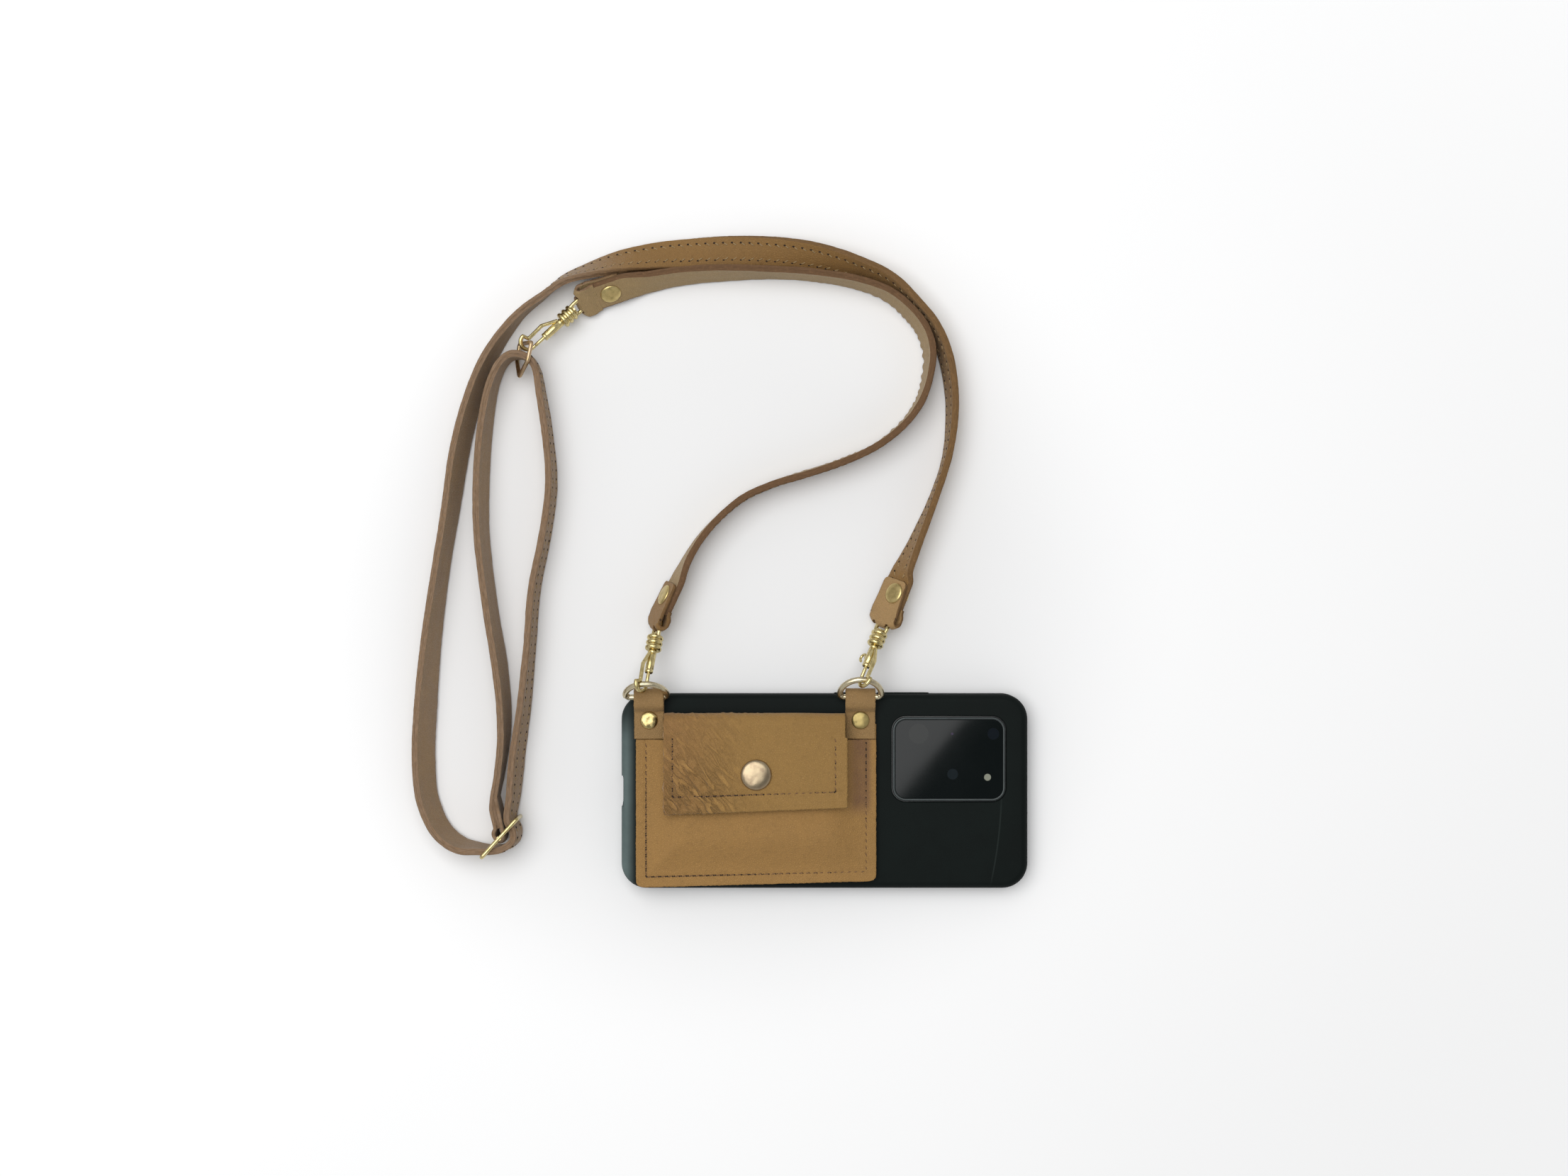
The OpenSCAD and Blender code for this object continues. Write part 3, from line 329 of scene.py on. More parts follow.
def casePlastic():
    f = Finish("casePlastic", {"Roughness": 0.5, "IOR": 1.42, "Specular IOR Level": 0.14})
    at = f.spot()
    speck = f.clouds(at, 2800, 2, 0.5)
    smear = f.clouds(at, 45, 4, 0.6)
    x, y, z = f.split(at)
    # painted reflection: the case's left strip is painted a lighter teal where its rounded edge reflects the light
    paintedSheen = (1 - x.band(-0.0835, -0.0785)) * (1 - y.band(0.020, 0.034) * 0.8)
    shade = f.mix(smear.band(0.4, 0.7) * 0.5, caseLook["colour"], scaled(caseLook["colour"], 1.7))
    shade = f.mix(paintedSheen * (0.35 + smear * 0.8), shade, caseLook["paintedSheen"])
    # a hair-thin scratch near the right end
    x0, x1, y0, y1 = [v * mm for v in caseLook["line"]]
    lean = (x0 - x1) / (y0 - y1)
    off = (x - (y - y0) * lean - x0 + (y - (y0 + y1) / 2) ** 2.0 * 2.6).size()
    ends = y.band(y1 - 0.004, y1 + 0.006) * (1 - y.band(y0 - 0.006, y0 + 0.012))
    scratch = (1 - off.band(0.0001, 0.00045)) * ends
    f.set("Base Color", f.mix(scratch * 0.22, shade, (0.05, 0.065, 0.06)))
    f.set("Roughness", 0.5 + smear * 0.16 + speck * 0.05)
    f.set("Normal", f.bump(speck, 0.00003))
    return f


def threadFinish(name, colour):
    f = Finish(name, {"Roughness": 0.7})
    at = f.spot()
    twist = f.clouds(f.turned(at, scale=(2500, 2500, 2500)), 1.0, 3, 0.6)
    f.set("Base Color", f.mix(twist.band(0.3, 0.7), scaled(colour, 0.7), scaled(colour, 1.25)))
    f.set("Normal", f.bump(twist, 0.0001))
    return f


def glassFinish(name, colour, roughness=0.05, ior=1.34, streak=0.03):
    f = Finish(name, {"IOR": ior})
    at = f.spot()
    smear = f.clouds(at, 60, 3, 0.6)
    f.set("Base Color", f.mix(smear, scaled(colour, 0.8), scaled(colour, 1.2)))
    f.set("Roughness", roughness + smear * streak)
    return f


# Lens discs and the flash show faintly through the camera's cover, with one small painted glint on a lens
lensSpotsAndGlint = [
    (53.6, 7.3, 2.3, (0.013, 0.018, 0.021)), (39.4, 24.2, 4.2, (0.012, 0.014, 0.013)),
    # the small purple spot at (53.4, 24.2) is a painted glint
    (53.4, 24.2, 0.6, (0.040, 0.026, 0.062)), (70.6, 24.2, 2.5, (0.008, 0.011, 0.015)),
    (68.2, 6.0, 1.5, (0.29, 0.30, 0.24)),
]


def coverGlass():
    f = Finish("cameraGlass", {"IOR": 1.33})
    at = f.spot()
    smear = f.clouds(at, 60, 3, 0.6)
    shade = f.mix(smear, (0.0034, 0.0052, 0.0052), (0.0056, 0.0078, 0.0078))
    x, y, z = f.split(at)
    for spotX, spotY, r, colour in lensSpotsAndGlint:
        off = ((x - spotX * mm) ** 2.0 + (y - spotY * mm) ** 2.0) ** 0.5
        shade = f.mix((1 - off.band((r - 0.25) * mm, (r + 0.1) * mm)) * 0.85, shade, colour)
    f.set("Base Color", shade)
    f.set("Roughness", 0.035 + smear * 0.03)
    return f


def plainFinish(name, colour, roughness, metallic=0.0, scale=600, depth=0.00004):
    f = Finish(name, {"Metallic": metallic})
    at = f.spot()
    cloud = f.clouds(at, scale, 3, 0.6)
    f.set("Base Color", f.mix(cloud, scaled(colour, 0.8), scaled(colour, 1.2)))
    f.set("Roughness", roughness * 0.85 + cloud * roughness * 0.3)
    f.set("Normal", f.bump(cloud, depth))
    return f


finishes = {
    "front": leather("frontLeather", leatherLook["front"], flapShadowX=0.0085),
    "flap": leather("flapLeather", leatherLook["flap"], warm=0.5, seamX=-0.040, crease=0.9),
    "tab": leather("tabLeather", leatherLook["tab"]),
    "strap": leather("strapLeather", leatherLook["strap"], leatherLook["strapFar"], True),
    "strapBack": leather("strapBackLeather", leatherLook["strapBack"], leatherLook["strapFar"], True),
    "strapPale": leather("strapPaleLeather", leatherLook["pale"], uv=True),
    "edge": cutEdge("leatherEdge", leatherLook["edge"]),
    "strapEdge": cutEdge("strapEdge", leatherLook["strapEdge"], leatherLook["strapEdgeFar"], True),
    "brownEdge": cutEdge("brownEdge", leatherLook["brownEdge"], uv=True),
    "lining": plainFinish("suedeLining", (0.22, 0.13, 0.07), 0.9, 0, 1400, 0.0002),
    "thread": threadFinish("waxedThread", (0.170, 0.088, 0.032)),
    "strapThread": threadFinish("strapThread", (0.34, 0.235, 0.115)),
    "hole": plainFinish("needleHole", (0.022, 0.011, 0.006), 0.9),
    "gold": wornMetal("goldMetal", metalLook["gold"], metalLook["goldDark"], 0.13),
    "loopMetal": wornMetal("loopMetal", metalLook["loop"], metalLook["goldDark"], 0.24),
    "ring": wornMetal("ringMetal", metalLook["ring"], metalLook["ringDark"], 0.18),
    "cap": wornMetal("capMetal", metalLook["cap"], metalLook["capDark"], 0.22, 0.08, 200),
    "rivet": wornMetal("rivetMetal", metalLook["stud"], metalLook["goldDark"], 0.18, 0.3, 420, -0.03),
    "stud": wornMetal("studMetal", metalLook["stud"], metalLook["goldDark"], 0.24, 0.1, 300),
    "steel": plainFinish("springSteel", (0.55, 0.54, 0.5), 0.3, 1.0),
    "case": casePlastic(),
    "screen": glassFinish("screenGlass", (0.004, 0.004, 0.005), 0.04, 1.5),
    "backGlass": glassFinish("backGlass", (0.010, 0.012, 0.014), 0.12, 1.5),
    "cameraGlass": coverGlass(),
    "frameMetal": plainFinish("phoneFrame", (0.030, 0.032, 0.034), 0.32, 0.9),
    "core": plainFinish("phoneCore", (0.02, 0.02, 0.02), 0.6),
    "rim": plainFinish("cameraRim", (0.052, 0.060, 0.060), 0.38, 0.85, 300),
    "lens": glassFinish("lensGlass", (0.004, 0.005, 0.012), 0.03, 1.6),
    "flash": plainFinish("flashDiffuser", (0.42, 0.44, 0.36), 0.35, 0, 900),
    "adhesive": plainFinish("adhesive", (0.55, 0.52, 0.44), 0.6),
}
print("finishes made,", len(finishes))


# Piece making. Shapes are modelled in millimetres and brought to metres at the end
def makePiece(name, bm, body, uses, replaces=(), sharp=38, recalc=True):
    if recalc:
        bmesh.ops.recalc_face_normals(bm, faces=bm.faces)
    bmesh.ops.scale(bm, vec=(mm, mm, mm), verts=bm.verts)
    mesh = bpy.data.meshes.new(name)
    bm.to_mesh(mesh)
    bm.free()
    for use in uses:
        mesh.materials.append(finishes[use].material)
    mesh.shade_smooth()
    mesh.set_sharp_from_angle(angle=math.radians(sharp))
    piece = bpy.data.objects.new(name, mesh)
    bpy.context.scene.collection.objects.link(piece)
    if body:
        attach(piece, body)
    if replaces:
        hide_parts(*replaces)
    return piece


def evaluated(piece):
    graph = bpy.context.evaluated_depsgraph_get()
    return bpy.data.meshes.new_from_object(piece.evaluated_get(graph))


def applyModifiers(piece):
    mesh = evaluated(piece)
    piece.modifiers.clear()
    piece.data = mesh


def loftRings(bm, rings, closed=False):
    loops = []
    for ring in rings:
        verts = [bm.verts.new(p) for p in ring]
        loops.append([bm.edges.new((a, b)) for a, b in zip(verts, verts[1:] + verts[:1])])
    if closed:
        loops.append(loops[0])
    for a, b in zip(loops, loops[1:]):
        bmesh.ops.bridge_loops(bm, edges=a + b)
    return loops


def fillOpen(bm):
    bmesh.ops.holes_fill(bm, edges=[e for e in bm.edges if e.is_boundary], sides=0)


def turnedPart(bm, profile, place=None, steps=48):
    fresh = bmesh.new()
    verts = [fresh.verts.new((r, 0, z)) for r, z in profile]
    edges = [fresh.edges.new(pair) for pair in zip(verts, verts[1:])]
    bmesh.ops.spin(
        fresh, geom=verts + edges, cent=(0, 0, 0), axis=(0, 0, 1),
        dvec=(0, 0, 0), angle=2 * math.pi, steps=steps, use_merge=True,
    )
    bmesh.ops.remove_doubles(fresh, verts=fresh.verts, dist=1e-4)
    bmesh.ops.recalc_face_normals(fresh, faces=fresh.faces)
    addTo(bm, fresh, place)


def addTo(bm, fresh, place=None, material=None):
    if place is not None:
        bmesh.ops.transform(fresh, matrix=place, verts=fresh.verts)
    if material is not None:
        for face in fresh.faces:
            face.material_index = material
    mesh = bpy.data.meshes.new("part")
    fresh.to_mesh(mesh)
    fresh.free()
    bm.from_mesh(mesh)
    bpy.data.meshes.remove(mesh)


def wireAlong(bm, points, radius, closed=False, place=None, taper=None, rings=6):
    curve = bpy.data.curves.new("wire", "CURVE")
    curve.dimensions = "3D"
    curve.bevel_depth = radius
    curve.bevel_resolution = rings
    curve.use_fill_caps = True
    spline = curve.splines.new("POLY")
    spline.points.add(len(points) - 1)
    for k, p in enumerate(points):
        spline.points[k].co = (*p, 1)
        spline.points[k].radius = taper(k / (len(points) - 1)) if taper else 1
    spline.use_cyclic_u = closed
    holder = bpy.data.objects.new("wire", curve)
    bpy.context.scene.collection.objects.link(holder)
    mesh = evaluated(holder)
    fresh = bmesh.new()
    fresh.from_mesh(mesh)
    bpy.data.objects.remove(holder)
    bpy.data.meshes.remove(mesh)
    bmesh.ops.remove_doubles(fresh, verts=fresh.verts, dist=1e-4)
    bmesh.ops.recalc_face_normals(fresh, faces=fresh.faces)
    addTo(bm, fresh, place)


def onAxes(origin, x, y, z):
    return Matrix((
        (x[0], y[0], z[0], origin[0]), (x[1], y[1], z[1], origin[1]),
        (x[2], y[2], z[2], origin[2]), (0, 0, 0, 1),
    ))


def arc(cx, cy, r, start, end, steps):
    angles = [math.radians(start + (end - start) * k / steps) for k in range(steps + 1)]
    return [(cx + r * math.cos(a), cy + r * math.sin(a)) for a in angles]


# A wire's corner, rounded with a radius, between the points on both sides
def bent(before, corner, after, r, steps=7):
    u = (Vector(before) - Vector(corner)).normalized()
    v = (Vector(after) - Vector(corner)).normalized()
    half = math.acos(max(-1, min(1, u.dot(v)))) / 2
    centre = Vector(corner) + (u + v).normalized() * r / math.sin(half)
    start = Vector(corner) + u * r / math.tan(half) - centre
    end = Vector(corner) + v * r / math.tan(half) - centre
    return [tuple(centre + start.slerp(end, k / steps)) for k in range(steps + 1)]


def roundedOutline(l, w, r, cx=0.0, cy=0.0, steps=10):
    points = []
    for sx, sy, turn in ((1, 1, 0), (-1, 1, 90), (-1, -1, 180), (1, -1, 270)):
        points += arc(cx + sx * (l / 2 - r), cy + sy * (w / 2 - r), r, turn, turn + 90, steps)
    return points


def level(outline, z):
    return [(x, y, z) for x, y in outline]


def cloud(x, y, z=0.0, seed=0.0):
    return noise.noise(Vector((x + seed, y - seed, z + 0.37 * seed)))


# The straps' ways over the table: x, y, roll and lift, in millimetres and degrees
strapSizes = {
    "width": 13.0, "thickness": 2.8, "bevel": 0.5, "ring": 0.9, "close": 3.8, "flatEnd": 15.8,
    "turn": 17.3, "tail": 17.0,
}

shortWay = [
    (-66.5, 78.2, 68, 0.6), (-58.5, 95.8, 79, 0), (-52.8, 105.2, 84, 0), (-45, 114.2, 87, 0),
    (-34.3, 123.1, 88, 0), (-22, 128.8, 88, 0), (-9, 132.9, 85, 0),
    (8.2, 138.6, 86, 0), (23.1, 145.7, 88, 0), (34.6, 155.5, 86, 0), (40.6, 164.7, 84, 0),
    (43.4, 174, 82, 0), (44.3, 184, 79, 0), (41.7, 193.5, 77, 0), (36.1, 201.1, 77, 0),
    (27.2, 208.7, 79, 0), (14, 213.8, 82, 0), (-4, 216.9, 84, 0), (-23.6, 218.1, 83, 0),
    (-42.7, 217.9, 76, 0), (-54, 217.2, 73, 0), (-64, 216, 70, 0), (-74.1, 214, 65, 0),
    (-91, 209.6, 50, 1.2),
]
longWay = [
    (29.2, 81.1, 46, 0.5), (33, 92.4, 60, 0), (36.9, 101.2, 73, 0), (41.6, 112.1, 81, 0),
    (46.4, 124, 86, 0), (51.3, 139, 87, 0), (53.5, 154, 82, 0), (53.4, 169, 78, 0),
    (50.6, 184.2, 77, 0), (45.6, 195.3, 76, 0), (37.6, 205, 74, 0), (27.1, 214, 64, 0),
    (12.4, 220.3, 53, 0), (-8, 225.5, 31, 0), (-33.7, 227.6, 10, 0), (-57.6, 226.6, -9, 0),
    (-74.1, 224.7, -28, 0.2), (-87.2, 222.3, -45, 0.2), (-98, 219.2, -60, 0), (-109.2, 215.2, -74, 0),
    (-119.1, 207.8, -84, 0), (-128, 200.6, -90, 0), (-136.7, 189.6, -99, 0), (-143.3, 177.7, -105, 0),
    (-149.6, 159.8, -109, 0), (-154.1, 140.4, -111, 0), (-157.4, 118.1, -108, 0), (-160.9, 97, -106, 0),
    (-165.1, 67, -111, 0), (-167.9, 36, -118, 0), (-168.8, 13.6, -118, 0), (-167, -4, -116, 0),
    (-161, -16.9, -113, 0.4), (-153.2, -22.9, -106, 1.2), (-145.4, -24.2, -96, 2.3), (-139.5, -24.6, -91, 2.4),
    (-134.5, -23.8, -88, 2.4), (-130, -20.5, -86, 2.4), (-129.6, -16, -84, 2.4), (-131.8, -12.2, -83, 2.3),
    (-130.8, -2, -79, 0.9),
    (-129.4, 13.6, -76, 0), (-126.6, 34.5, -79, 0), (-124.1, 60, -83, 0), (-122, 85.3, -83, 0),
    (-117.9, 105.6, -84, 0), (-115, 129, -84, 0), (-116.5, 150, -86, 0.4), (-119.2, 167, -88, 0.7),
    (-120.9, 176.4, -90, 1.2), (-123.7, 181.2, -90, 2.8), (-127.4, 182.9, -90, 2.9), (-131.8, 182.6, -91, 2.7),
    (-135.8, 179, -93, 2), (-139.6, 170.5, -97, 1), (-142.6, 155, -102, 0), (-144.4, 132, -104, 0),
    (-144.3, 108, -102, 0), (-140.6, 76.9, -102, 0), (-136.4, 50.5, -103, 0), (-134.9, 34.5, -101, 0),
    (-135.1, 19.6, -96, 0.6), (-136.7, 6.1, -92, 1.6), (-138.6, -6.6, -90, 2.2),
]

up = Vector((0, 0, 1))


def acrossWay(along, roll):
    right = along.cross(up).normalized()
    a = math.radians(roll)
    return math.cos(a) * right + math.sin(a) * right.cross(along)


def wayPoint(x, y, roll, lift):
    a = math.radians(roll)
    rest = strapSizes["width"] / 2 * abs(math.sin(a)) + strapSizes["thickness"] / 2 * abs(math.cos(a))
    return Vector((x, y, rest + lift, roll))


# Clips and rings: where they sit and how they lean
clipSizes = {
    "length": 33, "wire": 1.7, "hook": 3.2, "hookEnd": 1, "barrel": 3.5, "barrelStart": 9.4, "barrelEnd": 19.4,
    "collarStart": 19.6, "collarEnd": 26.2, "bead": 0.95, "beadRing": 2.55, "bow": 6.8, "bowRoot": 2.5,
    "bowCorner": 1.5, "neck": 1.3, "bolt": 1.5, "boltTop": 15.1, "springKeep": 0.08, "stem": 14.2, "stemWire": 0.58, "catch": 1.6,
    "catchReach": 4.6, "catchSweep": 250, "elbow": 5.2, "armLow": 11.4, "armHigh": 18.4, "armX": 2.0, "seat": 2.8,
}
ringSizes = {
    "wire": 2.5, "half": 8.75, "leg": 1.75, "corner": 1.6, "barY": 39.3, "barZ": 13.6,
    "leftX": -74.4, "rightX": 14.9, "leftRise": 54, "rightRise": 41,
}
clips = {
    "left": {"azimuth": 80.5, "fall": 24.4, "roll": 130, "thumb": -138, "contact": -12},
    "right": {"azimuth": 66.5, "fall": 22.6, "roll": 60, "thumb": 180, "contact": 11},
    "end": {"azimuth": 43.5, "fall": 7.5, "thumb": -90},
}
loopSizes = {
    "middle": Vector((-125.4, 188.2, 9.4)), "along": Vector((-0.18, -0.98, 0)), "lean": 66, "wire": 1.8,
    "half": 8.6, "side": 8.2, "corner": 1.2, "length": 14.6, "hookUp": 2.4,
}
slideSizes = {
    "origin": Vector((-143.4, -27.4, 0)), "azimuth": 47.5, "lift": 0.05, "wire": 1.8, "slot": 11.3,
    "height": 16, "corner": 1.6,
}


def pointing(azimuth, fall):
    a, f = math.radians(azimuth), math.radians(fall)
    return Vector((math.cos(f) * math.cos(a), math.cos(f) * math.sin(a), -math.sin(f)))


def ringPoint(x, rise, angle):
    out = ringSizes["leg"] + ringSizes["half"] * math.cos(math.radians(angle))
    a = math.radians(rise)
    side = ringSizes["half"] * math.sin(math.radians(angle))
    return Vector((x + side, ringSizes["barY"] + out * math.cos(a), ringSizes["barZ"] + out * math.sin(a)))


def seatClip(clip, seat, side):
    along = pointing(clip["azimuth"], clip["fall"])
    clip["along"] = along
    clip["side"] = side
    clip["foot"] = seat - clipSizes["hook"] * side - clipSizes["seat"] * along
    clip["bow"] = clip["foot"] + clipSizes["length"] * along


for key, x, rise in (("left", "leftX", "leftRise"), ("right", "rightX", "rightRise")):
    clip = clips[key]
    along = pointing(clip["azimuth"], clip["fall"])
    right = along.cross(up).normalized()
    a = math.radians(clip["roll"])
    side = math.cos(a) * right + math.sin(a) * right.cross(along)
    seatClip(clip, ringPoint(ringSizes[x], ringSizes[rise], clip["contact"]), side)

loopAlong = loopSizes["along"].normalized()
loopAcross = Vector((-loopAlong.y, loopAlong.x, 0))
lean = math.radians(loopSizes["lean"])
loopUp = (math.cos(lean) * loopAcross + math.sin(lean) * up).normalized()
endSide = loopUp.cross(pointing(clips["end"]["azimuth"], clips["end"]["fall"])).normalized()
seatClip(clips["end"], loopSizes["middle"] + loopSizes["hookUp"] * loopUp, endSide)

slideMiddle = slideSizes["lift"] + slideSizes["wire"] / 2 + slideSizes["height"] / 2
slideBar = slideSizes["origin"] + slideSizes["slot"] * pointing(slideSizes["azimuth"], 0) + slideMiddle * up


# Axes of a folded strap end: along the strap, across it and out of its face
def endAxes(bow, after, roll):
    along = (after - bow).normalized()
    across = acrossWay(along, roll)
    return along, across, across.cross(along)


rolls = {"left": 68, "right": 46, "end": 49, "slide": -90}
ends = {
    "left": endAxes(clips["left"]["bow"], wayPoint(*shortWay[0]).xyz, rolls["left"]),
    "right": endAxes(clips["right"]["bow"], wayPoint(*longWay[0]).xyz, rolls["right"]),
    "end": endAxes(clips["end"]["bow"], wayPoint(*shortWay[-1]).xyz, -rolls["end"]),
    "slide": endAxes(slideBar, Vector((longWay[-1][0], longWay[-1][1], slideMiddle)), -rolls["slide"]),
}
endBars = {"left": clips["left"]["bow"], "right": clips["right"]["bow"], "end": clips["end"]["bow"], "slide": slideBar}


def pastBar(key, reach):
    p = endBars[key] + reach * ends[key][0]
    return Vector((*p, rolls[key]))


def between(a, b, t, low, high):
    return a + (b - a) * ((t - low) / (high - low))


# One smooth line through the points of a way, with its roll
class Way:
    def __init__(self, points, share=14):
        self.line = []
        held = [points[0], *points, points[-1]]
        for k in range(len(points) - 1):
            p = held[k:k + 4]
            knots = [0.0]
            for a, b in zip(p, p[1:]):
                knots.append(knots[-1] + max((b.xyz - a.xyz).length, 1e-3) ** 0.5)
            for step in range(share):
                t = knots[1] + (knots[2] - knots[1]) * step / share
                sides = [between(p[j], p[j + 1], t, knots[j], knots[j + 1]) for j in range(3)]
                pair = [between(sides[j], sides[j + 1], t, knots[j], knots[j + 2]) for j in range(2)]
                self.line.append(between(*pair, t, knots[1], knots[2]))
        self.line.append(points[-1])
        self.reach = [0.0]
        for a, b in zip(self.line, self.line[1:]):
            self.reach.append(self.reach[-1] + (b.xyz - a.xyz).length)
        self.length = self.reach[-1]

    def at(self, s):
        s = min(max(s, 0.0), self.length)
        low, high = 0, len(self.reach) - 1
        while high - low > 1:
            middle = (low + high) // 2
            if self.reach[middle] <= s:
                low = middle
            else:
                high = middle
        share = (s - self.reach[low]) / max(self.reach[high] - self.reach[low], 1e-9)
        return self.line[low].lerp(self.line[high], share)

    def axes(self, s):
        here = self.at(s)
        along = (self.at(s + 0.8).xyz - self.at(s - 0.8).xyz).normalized()
        across = acrossWay(along, here[3])
        return here.xyz, along, across, across.cross(along)


straightEnd = [strapSizes["close"], strapSizes["flatEnd"], strapSizes["turn"]]
shortRoute = Way(
    [pastBar("left", reach) for reach in straightEnd]
    + [wayPoint(*p) for p in shortWay[1:-1]]
    + [pastBar("end", reach) for reach in reversed(straightEnd)]
)
longRoute = Way(
    [pastBar("right", reach) for reach in straightEnd]
    + [wayPoint(*p) for p in longWay[1:]]
    + [pastBar("slide", strapSizes["close"])]
)
print("strap lengths, mm:", round(shortRoute.length), round(longRoute.length))


# Straps: two layers of leather, cut flat and then laid along their way
def strapProfile():
    a, b, c = strapSizes["width"] / 2, strapSizes["thickness"] / 2, strapSizes["bevel"]
    groove = 0.14
    half = [
        (-a + c, -b), (-4.2, -b), (-3.05, -b + 0.1), (-1.9, -b), (0, -b - 0.03), (1.9, -b), (3.05, -b + 0.1), (4.2, -b),
        (a - c, -b), (a - 0.12, -b + 0.16), (a, -b + c), (a, -groove), (a - 0.22, 0),
    ]
    return half + [(-y, -z) for y, z in half]


def layStrap(name, route, nodes, faceA, uses, waves=None):
    bm = bmesh.new()
    verts = [bm.verts.new((0, y, z)) for y, z in strapProfile()]
    edges = [bm.edges.new(pair) for pair in zip(verts, verts[1:] + verts[:1])]
    steps = round(route.length / strapSizes["ring"])
    bmesh.ops.spin(
        bm, geom=verts + edges, cent=(0, 0, 0), axis=(1, 0, 0),
        dvec=(route.length / steps, 0, 0), angle=0, steps=steps, use_merge=False,
    )
    fillOpen(bm)
    bmesh.ops.recalc_face_normals(bm, faces=bm.faces)
    uv = bm.loops.layers.uv.new("flat")
    limit = strapSizes["width"] / 2 - strapSizes["bevel"] - 0.05
    for face in bm.faces:
        middle = face.calc_center_median()
        rim = abs(middle.y) > limit
        face.material_index = 2 if rim else (0 if middle.z * faceA > 0 else 1)
        for loop in face.loops:
            p = loop.vert.co
            loop[uv].uv = (p.x * mm, (p.z + 9 if rim else p.y) * mm)
    for vert in bm.verts:
        x, y, z = vert.co
        place, along, across, out = route.axes(x)
        wear = 0.10 * cloud(x * 0.35, y * 0.3, z) + 0.12 * cloud(x * 0.09, y * 0.15, z, 5)
        edge = abs(y) / (strapSizes["width"] / 2)
        ragged = 0.12 * edge ** 8 * cloud(x * 1.3, y, z * 0.6, 11)
        swell = waves(x, y) if waves else 0.0
        vert.co = place + across * (y + ragged * math.copysign(1, y)) + out * (z + wear + swell)
        vert.co.z = max(vert.co.z, 0.02)
    return makePiece(name, bm, "strap", uses, nodes, 50, False)


# The short strap's lower edge is puckered where it turns
def pucker(x, y):
    turn = 150
    bell = math.exp(-(((x - turn) / 62) ** 2))
    low = max(0.0, (-y - 1.5) / 5.0)
    size = 0.42 + 0.5 * cloud(x * 0.11, 0, 0, 17)
    return size * bell * low * low * math.sin(x * 2 * math.pi / 3.7 + 2.6 * math.sin(x * 0.17))


shortStrap = layStrap("shortStrap", shortRoute, ["short_strap"], -1, ["strap", "strapPale", "brownEdge"], pucker)
longStrap = layStrap("longStrap", longRoute, ["long_strap"], 1, ["strap", "strapBack", "strapEdge"])
print("straps laid")


# Strap ends: one layer goes round the wire and is riveted back as a tail
endLobe = {"bulge": 0.13, "bulgeAt": 1.0, "bulgeRun": 7.0, "corner": 2.0, "cornerRun": 6.5, "play": 0.35, "gap": 0.4}


def foldedEnd(name, key, side, barR, legHalf, slack, use):
    leatherT = strapSizes["thickness"] / 2
    gap = endLobe["gap"]
    turnR = barR + endLobe["play"] + leatherT / 2
    tail, close, halfW = strapSizes["tail"], strapSizes["close"], strapSizes["width"] / 2
    high = strapSizes["thickness"] / 2 + leatherT / 2
    spots = [(tail, high), (12, high), (7.4, high), (close, high)]
    spots += arc(-slack, 0, turnR, 82, 278, 12)
    spots += [(2.2 - slack / 2, -turnR + 0.3), (close + 0.2, -leatherT / 2 - 0.05), (close + 1.8, -leatherT / 2)]
    path = Way([Vector((x, y, 0, 0)) for x, y in spots], 6)
    wrapAt = path.reach[min(range(len(path.line)), key=lambda k: path.line[k].x)]
    bm = bmesh.new()
    bmesh.ops.create_grid(bm, x_segments=96, y_segments=34, size=1)
    for vert in bm.verts:
        vert.co = ((vert.co.x + 1) / 2 * path.length, vert.co.y * halfW, 0)
    if legHalf:
        holes = []
        for face in bm.faces:
            x, y, z = face.calc_center_median()
            if math.hypot((x - wrapAt) / 2.4, (abs(y) - legHalf) / (barR + gap)) < 1:
                holes.append(face)
        bmesh.ops.delete(bm, geom=holes, context="FACES")
    uv = bm.loops.layers.uv.new("flat")
    for face in bm.faces:
        for loop in face.loops:
            loop[uv].uv = (loop.vert.co.x * mm, loop.vert.co.y * mm)
    along, across, out = ends[key]
    bar = endBars[key]
    for vert in bm.verts:
        s, y = vert.co.x, vert.co.y
        # round the tail's corners
        short = max(0.0, abs(y) - halfW + 2.2)
        start = 2.2 - math.sqrt(max(0.0, 2.2 ** 2 - short ** 2))
        s = start + s * (path.length - start) / path.length if s < tail else s
        p = path.at(s)
        lift = 0.06 * cloud(s * 0.4, y * 0.4, 3)
        # the folded end swells sideways and its corners draw back
        near = min(1.0, max(0.0, (endLobe["cornerRun"] - p.x) / endLobe["cornerRun"]))
        back = endLobe["corner"] * abs(y / halfW) ** 3 * near * near
        swell = 1 + endLobe["bulge"] * math.exp(-(((p.x - endLobe["bulgeAt"]) / endLobe["bulgeRun"]) ** 2))
        vert.co = bar + along * (p.x + back) + across * y * swell + out * side * (p.y + lift)
        vert.co.z = max(vert.co.z, leatherT / 2 + 0.02)
    piece = makePiece(name, bm, "strap", [use, "strapEdge"], (), 50, False)
    shell = piece.modifiers.new("thickness", "SOLIDIFY")
    shell.thickness = leatherT * mm
    shell.offset = 0
    shell.material_offset_rim = 1
    applyModifiers(piece)
    return piece


strapEnds = [
    foldedEnd("leftStrapEnd", "left", 1, clipSizes["wire"] / 2, clipSizes["bow"] / 2, 1.6, "strap"),
    foldedEnd("endStrapEnd", "end", -1, clipSizes["wire"] / 2, clipSizes["bow"] / 2, 1.6, "strapPale"),
    foldedEnd("rightStrapEnd", "right", 1, clipSizes["wire"] / 2, clipSizes["bow"] / 2, 1.6, "strapBack"),
    foldedEnd("slideStrapEnd", "slide", -1, slideSizes["wire"] / 2, 0, 0, "strapBack"),
]


